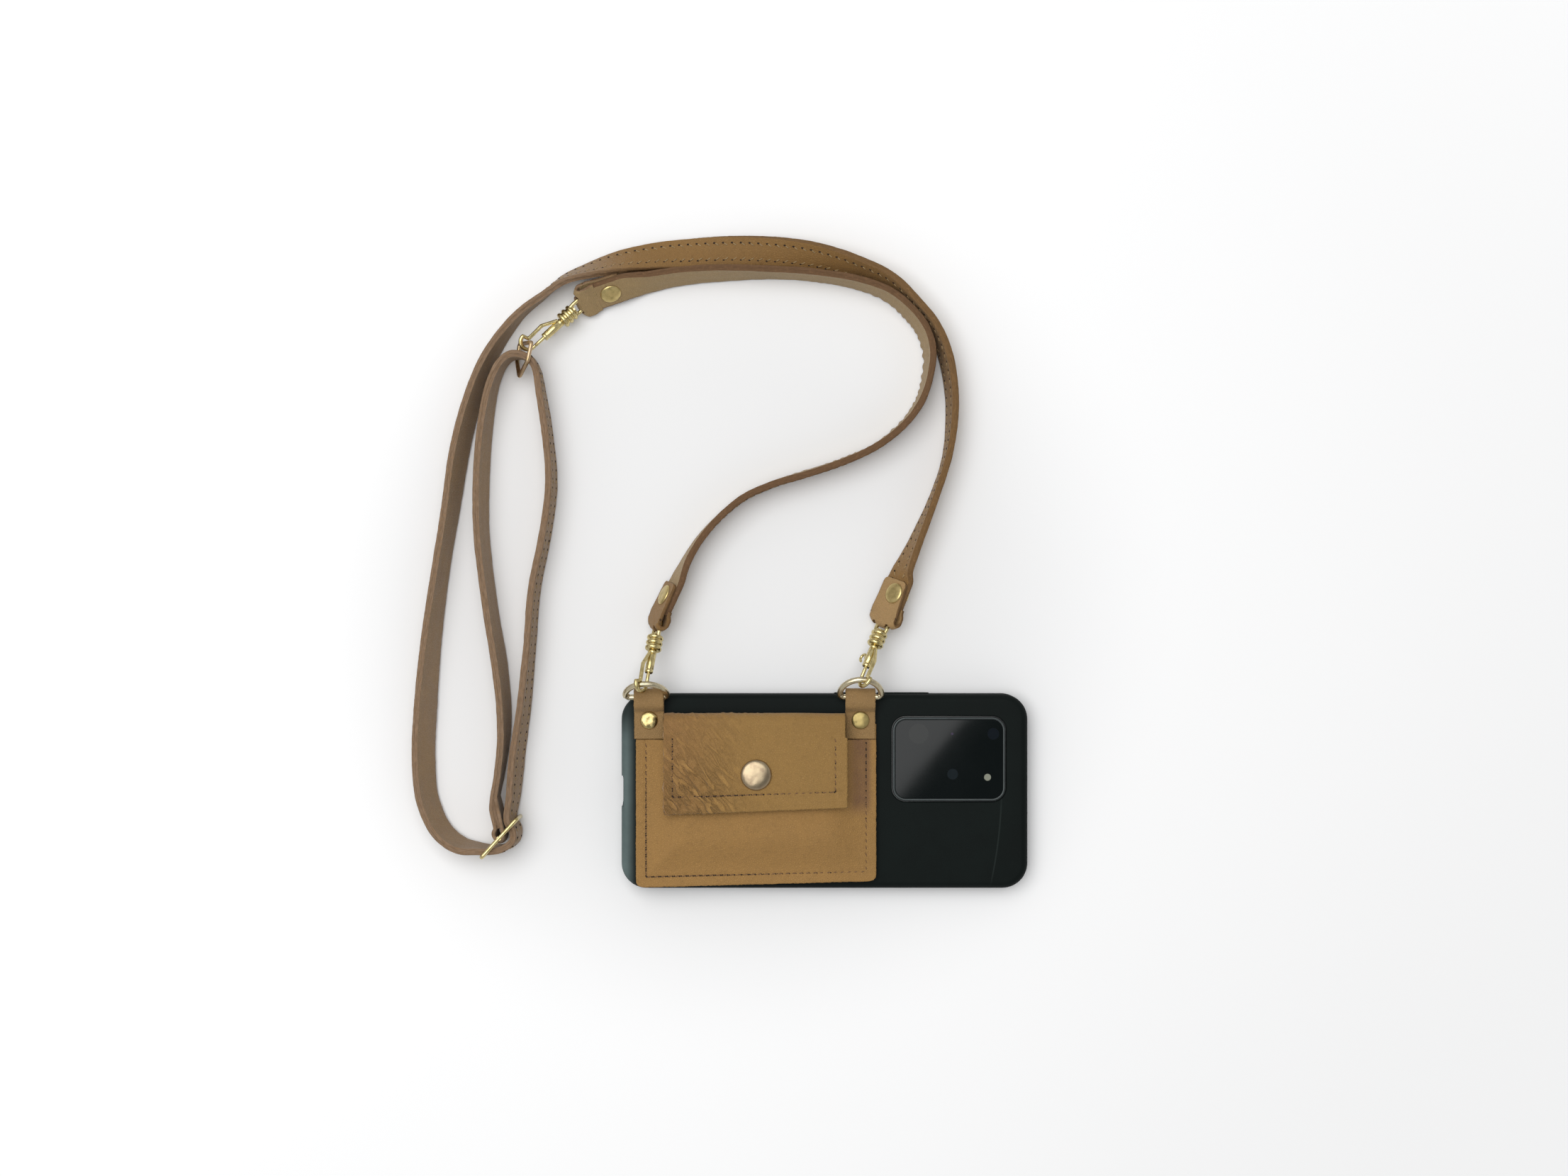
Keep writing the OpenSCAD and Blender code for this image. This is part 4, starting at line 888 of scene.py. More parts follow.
def inMetres(route, step=3.0):
    count = round(route.length / step)
    return [route.at(route.length * k / count).xyz * mm for k in range(count + 1)]


endBars["left"] * mm
inMetres(shortRoute)
endBars["right"] * mm
inMetres(longRoute)
print("strap ends folded")


# Stitches on the straps: a hole and a short slanted thread
strapStitch = {"off": 3.05, "pitch": 3.7, "length": 2.1, "width": 0.55, "height": 0.6, "slant": 32, "clear": 3.2}


def stitchAt(places, place, along, across, out, length, width, height, slant, material=0):
    a = math.radians(slant)
    x = math.cos(a) * along + math.sin(a) * across
    y = out.cross(x)
    places.append((onAxes(place, x * length / 2, y * width / 2, out * height / 2), material))


# One small bead, copied to each place
def sewnPiece(name, places, body, uses, replaces=()):
    bead = bmesh.new()
    bmesh.ops.create_uvsphere(
        bead, u_segments=6, v_segments=4, radius=1, matrix=Matrix.Rotation(math.pi / 2, 4, "Y")
    )
    points = [v.co.copy() for v in bead.verts]
    corners = [[v.index for v in f.verts] for f in bead.faces]
    bead.free()
    verts = [place @ p for place, material in places for p in points]
    faces = [[k * len(points) + c for c in face] for k in range(len(places)) for face in corners]
    mesh = bpy.data.meshes.new(name)
    mesh.from_pydata(verts, [], faces)
    for k, (place, material) in enumerate(places):
        for j in range(len(corners)):
            mesh.polygons[k * len(corners) + j].material_index = material
    bm = bmesh.new()
    bm.from_mesh(mesh)
    bpy.data.meshes.remove(mesh)
    return makePiece(name, bm, body, uses, replaces, 60)


def strapStitches(name, route, faceA, start, stop):
    places = []
    lift = strapSizes["thickness"] / 2
    bars = [slideSizes["origin"] + k * slideSizes["slot"] * pointing(slideSizes["azimuth"], 0) for k in (0, 2)]
    s = start
    while s < stop:
        place, along, across, out = route.axes(s)
        out = out * faceA
        s += strapStitch["pitch"]
        if min((place.xy - bar.xy).length for bar in bars) < strapStitch["clear"]:
            continue  # under the buckle's wire
        for row in (-1, 1):
            p = place + across * row * strapStitch["off"] + out * (lift - 0.04)
            stitchAt(
                places, p, along, across, out, strapStitch["length"], strapStitch["width"],
                strapStitch["height"], row * strapStitch["slant"], 0,
            )
            h = place + along * 1.1 + across * row * (strapStitch["off"] + 0.6) + out * (lift - 0.05)
            stitchAt(places, h, along, across, out, 1.1, 0.8, 0.5, 0, 1)
    return sewnPiece(name, places, "strap", ["strapThread", "hole"])


strapStitches("longStrapStitches", longRoute, 1, 12, longRoute.length - 14)
strapStitches("shortStrapStitches", shortRoute, -1, 12, shortRoute.length - 14)
print("straps stitched")


# Pouch: leather panels on the back of the case
pouch = {
    "x": -28.7, "w": 100.4, "bottom": -38.6, "edge": 21.8, "corner": 2.8, "leather": 1.0, "backZ": 11.2,
    "pocketZ": 12.2, "frontZ": 16.6, "seam": 4.2, "crownRun": 17.0, "foldY": 28.3, "foldZ": 16.1, "slant": 2.6,
}
flapSet = {
    "left": -66.9, "w": 76.2, "neckW": 75.3, "neckH": 5.5, "bottom": -7.4, "z": 20.0, "leather": 1.0,
    "snap": (-28.6, 7.8),
    "lining": 0.8, "stitch": 3.6, "stitchRight": 5.0, "stitchLow": 7.0, "slant": 3.0,
}


# Lays a grid over an outline with round lower corners
def panelSpot(u, v, x, w, low, high, r):
    y = low + (high - low) * v
    half = w / 2
    if y < low + r:
        half = w / 2 - r + math.sqrt(max(0.0, r * r - (low + r - y) ** 2))
    return x + (2 * u - 1) * half, y + (u - 0.5) * pouch["slant"] * (1 - v)


def sheetPiece(name, columns, rows, place, thickness, body, uses, nodes, offset=-1.0):
    bm = bmesh.new()
    bmesh.ops.create_grid(bm, x_segments=columns, y_segments=rows, size=1)
    for vert in bm.verts:
        vert.co = place((vert.co.x + 1) / 2, (vert.co.y + 1) / 2)
    piece = makePiece(name, bm, None, uses, nodes, 50, False)
    shell = piece.modifiers.new("thickness", "SOLIDIFY")
    shell.thickness = thickness * mm
    shell.offset = offset
    shell.material_offset_rim = len(uses) - 1
    applyModifiers(piece)
    if body:
        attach(piece, body)
    return piece


def frayed(u, v, x, y, size=0.18):
    edge = max(0.0, 1 - 40 * min(u, 1 - u, v, 1 - v))
    return (
        edge * size * (cloud(x * 1.1, y * 1.1, 0, 3) + 0.5 * cloud(x * 2.7, y * 2.7, 0, 8)),
        edge * size * (cloud(x * 1.1, y * 1.1, 0, 21) + 0.5 * cloud(x * 2.7, y * 2.7, 0, 33)),
    )


def frontPanelSpot(u, v):
    x, y = panelSpot(u, v, pouch["x"], pouch["w"], pouch["bottom"], pouch["edge"], pouch["corner"])
    side = min(u, 1 - u) * pouch["w"]
    inset = min(side, v * (pouch["edge"] - pouch["bottom"]))
    low = pouch["pocketZ"] + pouch["leather"]
    high = pouch["frontZ"] + pouch["leather"]
    share = min(1.0, max(0.0, (inset - pouch["seam"] - 0.4) / pouch["crownRun"]))
    z = low + (high - low) * share * share * (3 - 2 * share)
    pull = 0.75 + 0.35 * math.cos((x + y) * 2 * math.pi / 2.9) + 0.4 * cloud(x * 0.4, y * 0.4, 0, 12)
    z -= 0.32 * pull * math.exp(-(((inset - pouch["seam"]) / 0.75) ** 2))
    z += 0.22 * cloud(x * 0.05, y * 0.06, 0, 2) * share + 0.10 * cloud(x * 0.2, y * 0.2, 0, 7)
    dx, dy = frayed(u, v, x, y)
    return (x + dx, y + dy, z)


frontPanel = sheetPiece(
    "frontPanel", 176, 110, frontPanelSpot, pouch["leather"], "case", ["front", "edge"], ["front_panel"]
)


def backPanelSpot(u, v):
    x, y = panelSpot(u, v, pouch["x"], pouch["w"], pouch["bottom"], pouch["foldY"], pouch["corner"])
    dx, dy = frayed(u, v, x, y, 0.12)
    return (x + dx, y + dy, pouch["backZ"] + pouch["leather"] + 0.03 * cloud(x * 0.1, y * 0.1))


backPanel = sheetPiece(
    "backPanel", 80, 54, backPanelSpot, pouch["leather"], "case", ["front", "edge"], ["back_panel"]
)

tabSet = {"leftX": -73.4, "rightX": 14.9, "w": 12.4, "end": 22.2, "loopY": 41.0, "loopZ": 13.6, "inner": 1.4}


# A tab runs from the back panel round the ring's bar and lies on itself
def tabPiece(name, x):
    t = pouch["leather"]
    mid = tabSet["inner"] + t / 2
    top = pouch["pocketZ"] + t / 2
    low = pouch["backZ"] + t / 2
    spots = [(tabSet["end"], top), (30, top), (33.4, top), (36, tabSet["loopZ"] + mid - 0.25)]
    spots += arc(tabSet["loopY"], tabSet["loopZ"], mid, 95, -90, 12)
    spots += [(36.5, low), (pouch["foldY"] - 0.5, low)]
    path = Way([Vector((a, b, 0, 0)) for a, b in spots], 6)

    def spot(u, v):
        s = v * path.length
        p = path.at(s)
        ahead = (path.at(s + 0.3).xyz - path.at(s - 0.3).xyz).normalized()
        side = (2 * u - 1) * tabSet["w"] / 2
        dx, dy = frayed(u, 0.5 if s > 4 else v, side * 3 + x, s, 0.14)
        lift = 0.05 * cloud(side * 0.3 + x, s * 0.3)
        return (x + side + dx, p.x - ahead.y * lift, p.y + ahead.x * lift + dy * 0.3)

    return sheetPiece(name, 20, 90, spot, t, "case", ["tab", "edge"], (), 0.0)


leftTab = tabPiece("leftTab", tabSet["leftX"])
rightTab = tabPiece("rightTab", tabSet["rightX"])


# Flap: from its lower edge up over the fold to the back panel
def flapWay(v, top):
    fold = top - pouch["foldZ"]
    flat = pouch["foldY"] - flapSet["bottom"]
    s = v * (flat + math.pi * fold)
    if s < flat:
        return flapSet["bottom"] + s, top, 0.0
    a = (s - flat) / fold
    return pouch["foldY"] + fold * math.sin(a), pouch["foldZ"] + fold * math.cos(a), a


def flapSpot(u, v, top=21.0, inset=0.0, leather=True):
    y, z, turn = flapWay(v, top)
    flat = turn == 0.0
    w = flapSet["neckW"] if y > pouch["foldY"] - flapSet["neckH"] or not flat else flapSet["w"]
    x = flapSet["left"] + inset + u * (w - 2 * inset)
    high = y - flapSet["bottom"]
    if flat:
        y += (u - 0.5) * flapSet["slant"] * (1 - high / (pouch["foldY"] - flapSet["bottom"]))
    if not leather:
        return (x, y, z)
    # loose diagonal wrinkles over the left half, deepest near the lower left corner
    left = 1 - min(1.0, max(0.0, (u - 0.34) / 0.36))
    low = 1 - min(1.0, max(0.0, (y - 6) / 22))
    snapX, snapY = flapSet["snap"]
    calm = 1 - math.exp(-((x - snapX) ** 2 + (y - snapY) ** 2) / 90)
    along = x * 0.62 - y * 0.78
    cross = x * 0.78 + y * 0.62
    bend = 2.6 * cloud(along * 0.07, cross * 0.06, 0, 4)
    ridge = 1 - abs(2 * cloud(along * 0.06, (cross + bend) * 0.27, 0, 6))
    fine = 1 - abs(2 * cloud(along * 0.15, (cross + bend) * 0.6, 0, 9))
    wrinkle = left * calm * (0.4 + 0.6 * low) * (0.6 * ridge ** 3 + 0.34 * fine ** 3 - 0.3)
    lower = math.exp(-(((x + 56) / 12) ** 2) - (((y + 1) / 7) ** 2))
    pebbles = lower * cloud(x * 0.42, y * 0.42, 0, 15) * 0.9
    swell = 0.4 * calm * cloud(x * 0.045, y * 0.05, 0, 1) + wrinkle * 1.35 + pebbles
    edgeX = min(u, 1 - u) * w
    sideSeam = flapSet["stitch"] if u < 0.5 else flapSet["stitchRight"]
    pull = 0.75 + 0.35 * math.cos((x + y) * 2 * math.pi / 2.9) + 0.5 * cloud(x * 0.4, y * 0.4, 0, 12)
    seam = 0.0
    for inset, at in ((edgeX, sideSeam), (high, flapSet["stitchLow"])):
        seam -= 0.3 * pull * math.exp(-(((inset - at) / 0.7) ** 2))
    seam = seam if y < pouch["foldY"] - 3 else 0.0
    dx, dy = frayed(u, v, x, y, 0.22) if v < 0.8 else (0, 0)
    lift = swell + seam
    return (x + dx, y + dy + lift * math.sin(turn), z + lift * math.cos(turn))


flapPiece = sheetPiece(
    "flapLeather", 128, 92, flapSpot, flapSet["leather"], None, ["flap", "edge"], ["flap", "flap_fold"]
)
liningPiece = sheetPiece(
    "flapLining", 60, 60, lambda u, v: flapSpot(u, v * 0.72, flapSet["z"] - 0.02, 0.9, False), flapSet["lining"],
    "flap", ["lining", "lining"], ["flap_lining"],
)
print("pouch sewn")

# Stitching of the panels
panelStitch = {"pitch": 2.9, "length": 1.9, "width": 0.6, "height": 0.4}


def stitchRun(places, start, end, onPanel, out=up):
    start, end = Vector(start), Vector(end)
    reach = (end - start).length
    along = (end - start) / reach
    count = max(1, round(reach / panelStitch["pitch"]))
    for k in range(count):
        p = start + along * reach * (k + 0.5) / count
        place = Vector(onPanel(p.x, p.y)) + 0.05 * out
        across = out.cross(along)
        lean = 7 * cloud(p.x, p.y, 0, 14)
        sizes = panelStitch["length"], panelStitch["width"], panelStitch["height"]
        stitchAt(places, place, along, across, out, *sizes, 16 + lean)
        for end in (-1, 1):
            hole = place + along * end * panelStitch["length"] * 0.56 - out * 0.04
            stitchAt(places, hole, along, across, out, 0.75, 0.7, 0.2, 0, 1)


def onFront(x, y):
    u = (x - pouch["x"]) / pouch["w"] + 0.5
    v = (y - pouch["bottom"]) / (pouch["edge"] - pouch["bottom"])
    return frontPanelSpot(u, v)


def onFlap(x, y):
    flat = pouch["foldY"] - flapSet["bottom"]
    whole = flat + math.pi * (21.0 - pouch["foldZ"])
    return flapSpot((x - flapSet["left"]) / flapSet["w"], (y - flapSet["bottom"]) / whole)


places = []
seam = pouch["seam"]
leftX, rightX = pouch["x"] - pouch["w"] / 2 + seam, pouch["x"] + pouch["w"] / 2 - seam
lowY = pouch["bottom"] + seam
stitchRun(places, (leftX, pouch["edge"] - 1, 0), (leftX, lowY, 0), onFront)
stitchRun(places, (leftX, lowY, 0), (rightX, lowY, 0), onFront)
stitchRun(places, (rightX, lowY, 0), (rightX, pouch["edge"] - 1, 0), onFront)
sewnPiece("panelStitches", places, "case", ["thread", "hole"], ["panel_thread"])

places = []
leftX = flapSet["left"] + flapSet["stitch"]
rightX = flapSet["left"] + flapSet["w"] - flapSet["stitchRight"]
lowY = flapSet["bottom"] + flapSet["stitchLow"]
stitchRun(places, (leftX, pouch["foldY"] - 5, 0), (leftX, lowY, 0), onFlap)
stitchRun(places, (leftX, lowY, 0), (rightX, lowY, 0), onFlap)
stitchRun(places, (rightX, lowY, 0), (rightX, pouch["foldY"] - 5, 0), onFlap)
sewnPiece("flapStitches", places, "flap", ["thread", "hole"], ["flap_thread"])

# Snap and rivets
snapSet = {"x": -28.6, "y": 7.8, "r": 6.4, "height": 1.7, "z": 21.0}
rivetSet = {"r": 3.7, "height": 1.1, "y": 30.0, "z": 13.2, "strapR": 4.4, "strapH": 1.0, "fromBow": 11.2, "side": 1.8}


def domeProfile(r, h, rim=0.25, flat=0.0):
    steps = 12
    points = [(0, h)]
    for k in range(1, steps):
        share = k / steps
        drop = max(0.0, (share - flat) / (1 - flat))
        points.append((r * share, rim + (h - rim) * math.sqrt(max(0.0, 1 - drop ** 2.4))))
    return points + [(r - 0.03, rim + 0.1), (r, rim * 0.5), (r - 0.12, 0), (0, 0)]


def hammered(bm, size, scale, seed):
    for vert in bm.verts:
        x, y, z = vert.co
        if z > 0.3:
            vert.co.z += size * cloud(x * scale, y * scale, z * scale, seed)


bm = bmesh.new()
turnedPart(bm, domeProfile(snapSet["r"], snapSet["height"], 0.3, 0.1), None, 96)
hammered(bm, 0.05, 0.45, 3)
bmesh.ops.translate(bm, vec=(snapSet["x"], snapSet["y"], snapSet["z"] + 0.12), verts=bm.verts)
makePiece("snapCap", bm, "flap", ["cap"], ["snap_cap"], 50)

bm = bmesh.new()
for x in (tabSet["leftX"], tabSet["rightX"]):
    fresh = bmesh.new()
    turnedPart(fresh, domeProfile(rivetSet["r"], rivetSet["height"], 0.3, 0.35), None, 64)
    hammered(fresh, 0.22, 0.5, 7 + x * 0.1)
    addTo(bm, fresh, Matrix.Translation((x, rivetSet["y"], rivetSet["z"])))
makePiece("tabRivets", bm, "case", ["rivet"], ["tab_rivets"], 50)

bm = bmesh.new()
for key, shift, tailSide in (("left", 0, 1), ("right", rivetSet["side"], 1), ("end", 0, -1)):
    along, across, out = ends[key]
    middle = endBars[key] + rivetSet["fromBow"] * along + shift * across
    for face in (-1, 1):
        lift = strapSizes["thickness"] / 2 * (2 if face == tailSide else 1)
        fresh = bmesh.new()
        turnedPart(fresh, domeProfile(rivetSet["strapR"], rivetSet["strapH"], 0.25, 0.3), None, 64)
        hammered(fresh, 0.08, 0.4, 5)
        place = onAxes(middle + out * face * lift, along, across * face, out * face)
        addTo(bm, fresh, place)
makePiece("strapRivets", bm, "strap", ["stud"], ["strap_rivets"], 50)


# D-rings, strap ring and slide buckle
def dRing(name, x, rise, node):
    half, leg, corner = ringSizes["half"], ringSizes["leg"], ringSizes["corner"]
    points = arc(0, leg, half, 0, 180, 40)
    points += bent((-half, leg), (-half, 0), (0, 0), corner)
    points += bent((0, 0), (half, 0), (half, leg), corner)
    place = Matrix.Translation((x, ringSizes["barY"], ringSizes["barZ"])) @ Matrix.Rotation(math.radians(rise), 4, "X")
    bm = bmesh.new()
    wireAlong(bm, [(*p, 0) for p in points], ringSizes["wire"] / 2, True, place, rings=8)
    return makePiece(name, bm, "strap", ["ring"], [node], 60)


dRing("leftRing", ringSizes["leftX"], ringSizes["leftRise"], "left_d_ring")
dRing("rightRing", ringSizes["rightX"], ringSizes["rightRise"], "right_d_ring")

half, side, corner = loopSizes["half"], loopSizes["side"], loopSizes["corner"]
tip = (loopSizes["length"] + loopSizes["wire"] / 2, 0)
points = bent((0, -half), (0, half), (side, half), corner) + bent((0, half), (side, half), tip, loopSizes["wire"])
points += bent((side, half), tip, (side, -half), loopSizes["wire"]) + bent(tip, (side, -half), (0, -half), loopSizes["wire"])
points += bent((side, -half), (0, -half), (0, half), corner)
bm = bmesh.new()
place = onAxes(loopSizes["middle"], loopAlong, loopUp, loopAlong.cross(loopUp))
wireAlong(bm, [(*p, 0) for p in points], loopSizes["wire"] / 2, True, place)
makePiece("strapRing", bm, "strap_ring", ["loopMetal"], ["strap_ring"], 60)

far, high, corner = 2 * slideSizes["slot"], slideSizes["height"], slideSizes["corner"]
corners = [(0, 0), (0, high), (far, high), (far, 0)]
points = []
for k in range(4):
    points += bent(corners[k - 1], corners[k], corners[(k + 1) % 4], corner)
a = math.radians(slideSizes["azimuth"])
place = onAxes(
    slideSizes["origin"] + (slideSizes["lift"] + slideSizes["wire"] / 2) * up,
    Vector((math.cos(a), math.sin(a), 0)), up, Vector((math.sin(a), -math.cos(a), 0)),
)
bm = bmesh.new()
wireAlong(bm, [(*p, 0) for p in points], slideSizes["wire"] / 2, True, place)
slot = slideSizes["slot"]
wireAlong(bm, [(slot, k * high / 8, 0) for k in range(9)], slideSizes["wire"] / 2, False, place)
makePiece("slideBuckle", bm, "slide_buckle", ["gold"], ["slide_buckle"], 60)
print("rings made")


# Clips: hook and barrel, bolt with its thumb catch, spring, and the eye
def clipPlace(clip):
    return onAxes(clip["foot"], clip["side"], clip["along"].cross(clip["side"]), clip["along"])


def clipBarrel(name, clip, body, node):
    c = clipSizes
    place = clipPlace(clip)
    bm = bmesh.new()
    hook = [(0, 0, c["hook"] + c["hookEnd"])]
    hook += [(x, 0, z) for x, z in arc(c["hook"], c["hook"], c["hook"], 180, 360, 26)]
    # the arm leans in to the barrel and runs up its side
    elbow, low, high = (2 * c["hook"], c["elbow"]), (c["armX"], c["armLow"]), (c["armX"], c["armHigh"])
    hook += [(x, 0, z) for x, z in bent((2 * c["hook"], c["hook"]), elbow, low, c["hook"], 10)]
    hook += [(x, 0, z) for x, z in bent(elbow, low, high, c["hook"], 8)]
    hook.append((c["armX"] - 0.5, 0, c["armHigh"]))
    wireAlong(bm, hook, c["wire"] / 2, False, place, lambda t: 0.9 + 0.16 * math.sin(math.pi * t))
    r, low, high = c["barrel"] / 2, c["barrelStart"], c["barrelEnd"]
    bore = c["bolt"] / 2 + 0.1
    profile = [
        (bore, low + 1), (bore, low), (r - 0.25, low), (r, low + 0.3), (r, low + 1.1), (r - 0.14, low + 1.25),
        (r - 0.14, low + 1.5), (r, low + 1.65), (r, high - 1.5), (r - 0.14, high - 1.35), (r - 0.14, high - 1.1),
        (r, high - 0.95), (r, high - 0.25), (r - 0.2, high), (c["neck"], high), (c["neck"], c["collarEnd"] + 0.2),
        (2, c["collarEnd"] + 0.2), (2, c["collarEnd"] + 0.9), (0, c["collarEnd"] + 0.9),
    ]
    turnedPart(bm, profile, place)
    return makePiece(name, bm, body, ["gold"], [node], 45)


def clipBolt(name, clip, body, node):
    c = clipSizes
    place = clipPlace(clip)
    bm = bmesh.new()
    start, r = c["hook"] + c["hookEnd"] + 0.2, c["bolt"] / 2
    top = c["boltTop"]
    turnedPart(bm, [(0, start), (r - 0.2, start), (r, start + 0.25), (r, top - 0.1), (r - 0.1, top), (0, top)], place, 32)
    turn = place @ Matrix.Rotation(math.radians(clip["thumb"]), 4, "Z")
    reach, ring = c["catchReach"], c["catch"]
    catch = [(0.4, 0, c["stem"]), (reach - ring - 0.5, 0, c["stem"])]
    sweep = [math.radians(180 - c["catchSweep"] * k / 28) for k in range(29)]
    catch += [(reach + ring * math.cos(a), 0, c["stem"] + ring * math.sin(a)) for a in sweep]
    wireAlong(bm, catch, c["stemWire"], False, turn)
    return makePiece(name, bm, body, ["gold"], [node], 50)


def clipSpring(name, clip, key, node):
    c = clipSizes
    low, high, turns, r = c["boltTop"] + 0.1, c["barrelEnd"] - 0.9, 6, 0.5
    steps = turns * 20
    coil = [
        (r * math.cos(2 * math.pi * k / 20), r * math.sin(2 * math.pi * k / 20), low + 0.2 + (high - low - 0.4) * k / steps)
        for k in range(steps + 1)
    ]
    bm = bmesh.new()
    wireAlong(bm, coil, 0.2, False, clipPlace(clip), rings=3)
    spring = makePiece(name, bm, key + "_hook", ["steel"], [node], 60)
    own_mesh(spring)


def clipEye(name, clip, key, node):
    c = clipSizes
    u = clip["along"]
    w = ends[key][1]
    flat = (w - w.dot(u) * u).normalized()
    place = onAxes(clip["foot"], flat.cross(u), flat, u)
    bm = bmesh.new()
    step = (c["collarEnd"] - c["collarStart"] - 2 * c["bead"]) / 2
    inner = c["neck"] + 0.1
    profile = [(inner, c["collarStart"]), (c["beadRing"], c["collarStart"])]
    for k in range(3):
        middle = c["collarStart"] + c["bead"] + k * step
        profile += arc(c["beadRing"], middle, c["bead"], -80, 80, 10)
    profile += [(c["beadRing"], c["collarEnd"]), (inner, c["collarEnd"]), (inner, c["collarStart"])]
    turnedPart(bm, profile, place)
    half, foot, high, corner = c["bow"] / 2, c["collarEnd"] - c["bead"], c["length"], c["bowCorner"]
    low = (half, c["collarEnd"] + corner)
    path = [(c["bowRoot"], foot)] + bent((c["bowRoot"], foot), low, (half, high), corner)
    path += bent(low, (half, high), (0, high), corner)
    path += [(-y, z) for y, z in reversed(path)]
    wireAlong(bm, [(0, y, z) for y, z in path], c["wire"] / 2, False, place)
    return makePiece(name, bm, "strap", ["gold"], [node], 50)


for key in ("left", "right", "end"):
    clip = clips[key]
    clipBarrel(key + "ClipHook", clip, key + "_hook", key + "_clip_barrel")
    clipBolt(key + "ClipBolt", clip, key + "_bolt", key + "_clip_bolt")
    clipSpring(key + "ClipSpring", clip, key, key + "_clip_spring")
    clipEye(key + "ClipEye", clip, key, key + "_clip_eye")
print("clips made")

# Case: a rounded block, hollowed from below, with the camera window and the port cut through it
caseSet = {
    "l": 170.5, "w": 81.5, "h": 11.0, "wall": 1.8, "corner": 10.6, "inner": 13.4, "edge": 3.2, "phoneTop": 9.8,
    "windowX": 52.1, "windowY": 13.6, "windowL": 48, "windowW": 36, "windowR": 6, "portL": 13, "portZ": 2.1, "portH": 6.4,
}


def caseRing(inset, z, corner="corner"):
    outline = roundedOutline(caseSet["l"] - 2 * inset, caseSet["w"] - 2 * inset, caseSet[corner] - inset, steps=14)
    return level(outline, z)


def windowRing(grow, z):
    c = caseSet
    outline = roundedOutline(
        c["windowL"] + 2 * grow, c["windowW"] + 2 * grow, c["windowR"] + grow, c["windowX"], c["windowY"]
    )
    return level(outline, z)


def portRing(x, l, h, r, middle):
    return [(x, y, z + middle) for y, z in roundedOutline(l, h, r)]


def cutWith(piece, rings):
    bm = bmesh.new()
    loftRings(bm, rings)
    fillOpen(bm)
    bmesh.ops.recalc_face_normals(bm, faces=bm.faces)
    bmesh.ops.scale(bm, vec=(mm, mm, mm), verts=bm.verts)
    mesh = bpy.data.meshes.new("cutter")
    bm.to_mesh(mesh)
    bm.free()
    cutter = bpy.data.objects.new("cutter", mesh)
    bpy.context.scene.collection.objects.link(cutter)
    cut = piece.modifiers.new("cut", "BOOLEAN")
    cut.operation = "DIFFERENCE"
    cut.solver = "EXACT"
    cut.object = cutter
    applyModifiers(piece)
    bpy.data.objects.remove(cutter)
    bpy.data.meshes.remove(mesh)


bm = bmesh.new()
wall, high, edge = caseSet["wall"], caseSet["h"], caseSet["edge"]
rings = [caseRing(0.6, 0), caseRing(0.17, 0.18), caseRing(0, 0.7), caseRing(0, high - edge)]
for k in range(1, 10):
    a = math.radians(k * 10)
    rings.append(caseRing(edge * (1 - math.cos(a)), high - edge + edge * math.sin(a)))
loftRings(bm, rings)
fillOpen(bm)
caseShell = makePiece("caseShell", bm, None, ["case"], ["case_shell"], 28)
cavity = ((wall - 0.35, -1), (wall - 0.35, 0), (wall, 0.35), (wall, caseSet["phoneTop"]))
cutWith(caseShell, [caseRing(inset, z, "inner") for inset, z in cavity])
opening = ((0, 8), (0, 10.6), (0.12, 10.85), (0.4, 11.0), (0.9, 11.4))
cutWith(caseShell, [windowRing(grow, z) for grow, z in opening])
portEnd = -caseSet["l"] / 2
scoop = caseSet["portZ"] + 4.2
cutWith(caseShell, [portRing(portEnd + x, caseSet["portL"], caseSet["portH"] + 5.6, 2.4, scoop) for x in (-2, 1)])
hole = caseSet["portZ"] + caseSet["portH"] / 2
cutWith(caseShell, [portRing(portEnd + x, caseSet["portL"], caseSet["portH"], 3, hole) for x in (-2, 4)])
caseShell.data.shade_smooth()
caseShell.data.set_sharp_from_angle(angle=math.radians(28))
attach(caseShell, "case")
print("case faces:", len(caseShell.data.polygons))

bm = bmesh.new()
for x, l in ((33, 22), (9, 10)):
    rings = []
    for inset, out in ((0, -0.9), (0, 0.2), (0.12, 0.42), (0.4, 0.52)):
        outline = roundedOutline(l - 2 * inset, 3.4 - 2 * inset, 1.7 - inset - 0.02)
        rings.append([(x + a, caseSet["w"] / 2 + out, 5.3 + b) for a, b in outline])
    fresh = bmesh.new()
    loftRings(fresh, rings)
    fillOpen(fresh)
    addTo(bm, fresh)
makePiece("keyPads", bm, "case", ["case"], (), 40)

# Camera window of the phone
cameraWindow = {"l": 47.2, "w": 35.2, "r": 5.6, "rim": 1.1, "low": 9.7, "high": 11.5, "glassTop": 11.3}


def rimRing(inset, z):
    c = cameraWindow
    outline = roundedOutline(
        c["l"] - 2 * inset, c["w"] - 2 * inset, c["r"] - inset, caseSet["windowX"], caseSet["windowY"], steps=14
    )
    return level(outline, z)


bm = bmesh.new()
low, high, rim = cameraWindow["low"], cameraWindow["high"], cameraWindow["rim"]
loftRings(bm, [
    rimRing(0, low), rimRing(0, high - 0.35), rimRing(0.1, high - 0.1), rimRing(0.32, high), rimRing(rim - 0.32, high),
    rimRing(rim - 0.1, high - 0.1), rimRing(rim, high - 0.3), rimRing(rim, low),
], True)
makePiece("cameraRim", bm, "phone", ["rim"], ["camera_rim"], 50)

bm = bmesh.new()
top = cameraWindow["glassTop"]
loftRings(bm, [rimRing(rim, top - 0.7), rimRing(rim, top - 0.12), rimRing(rim + 0.12, top)])
fillOpen(bm)
makePiece("cameraGlass", bm, "phone", ["cameraGlass"], ["camera_glass"], 30)
print("case and camera window made")

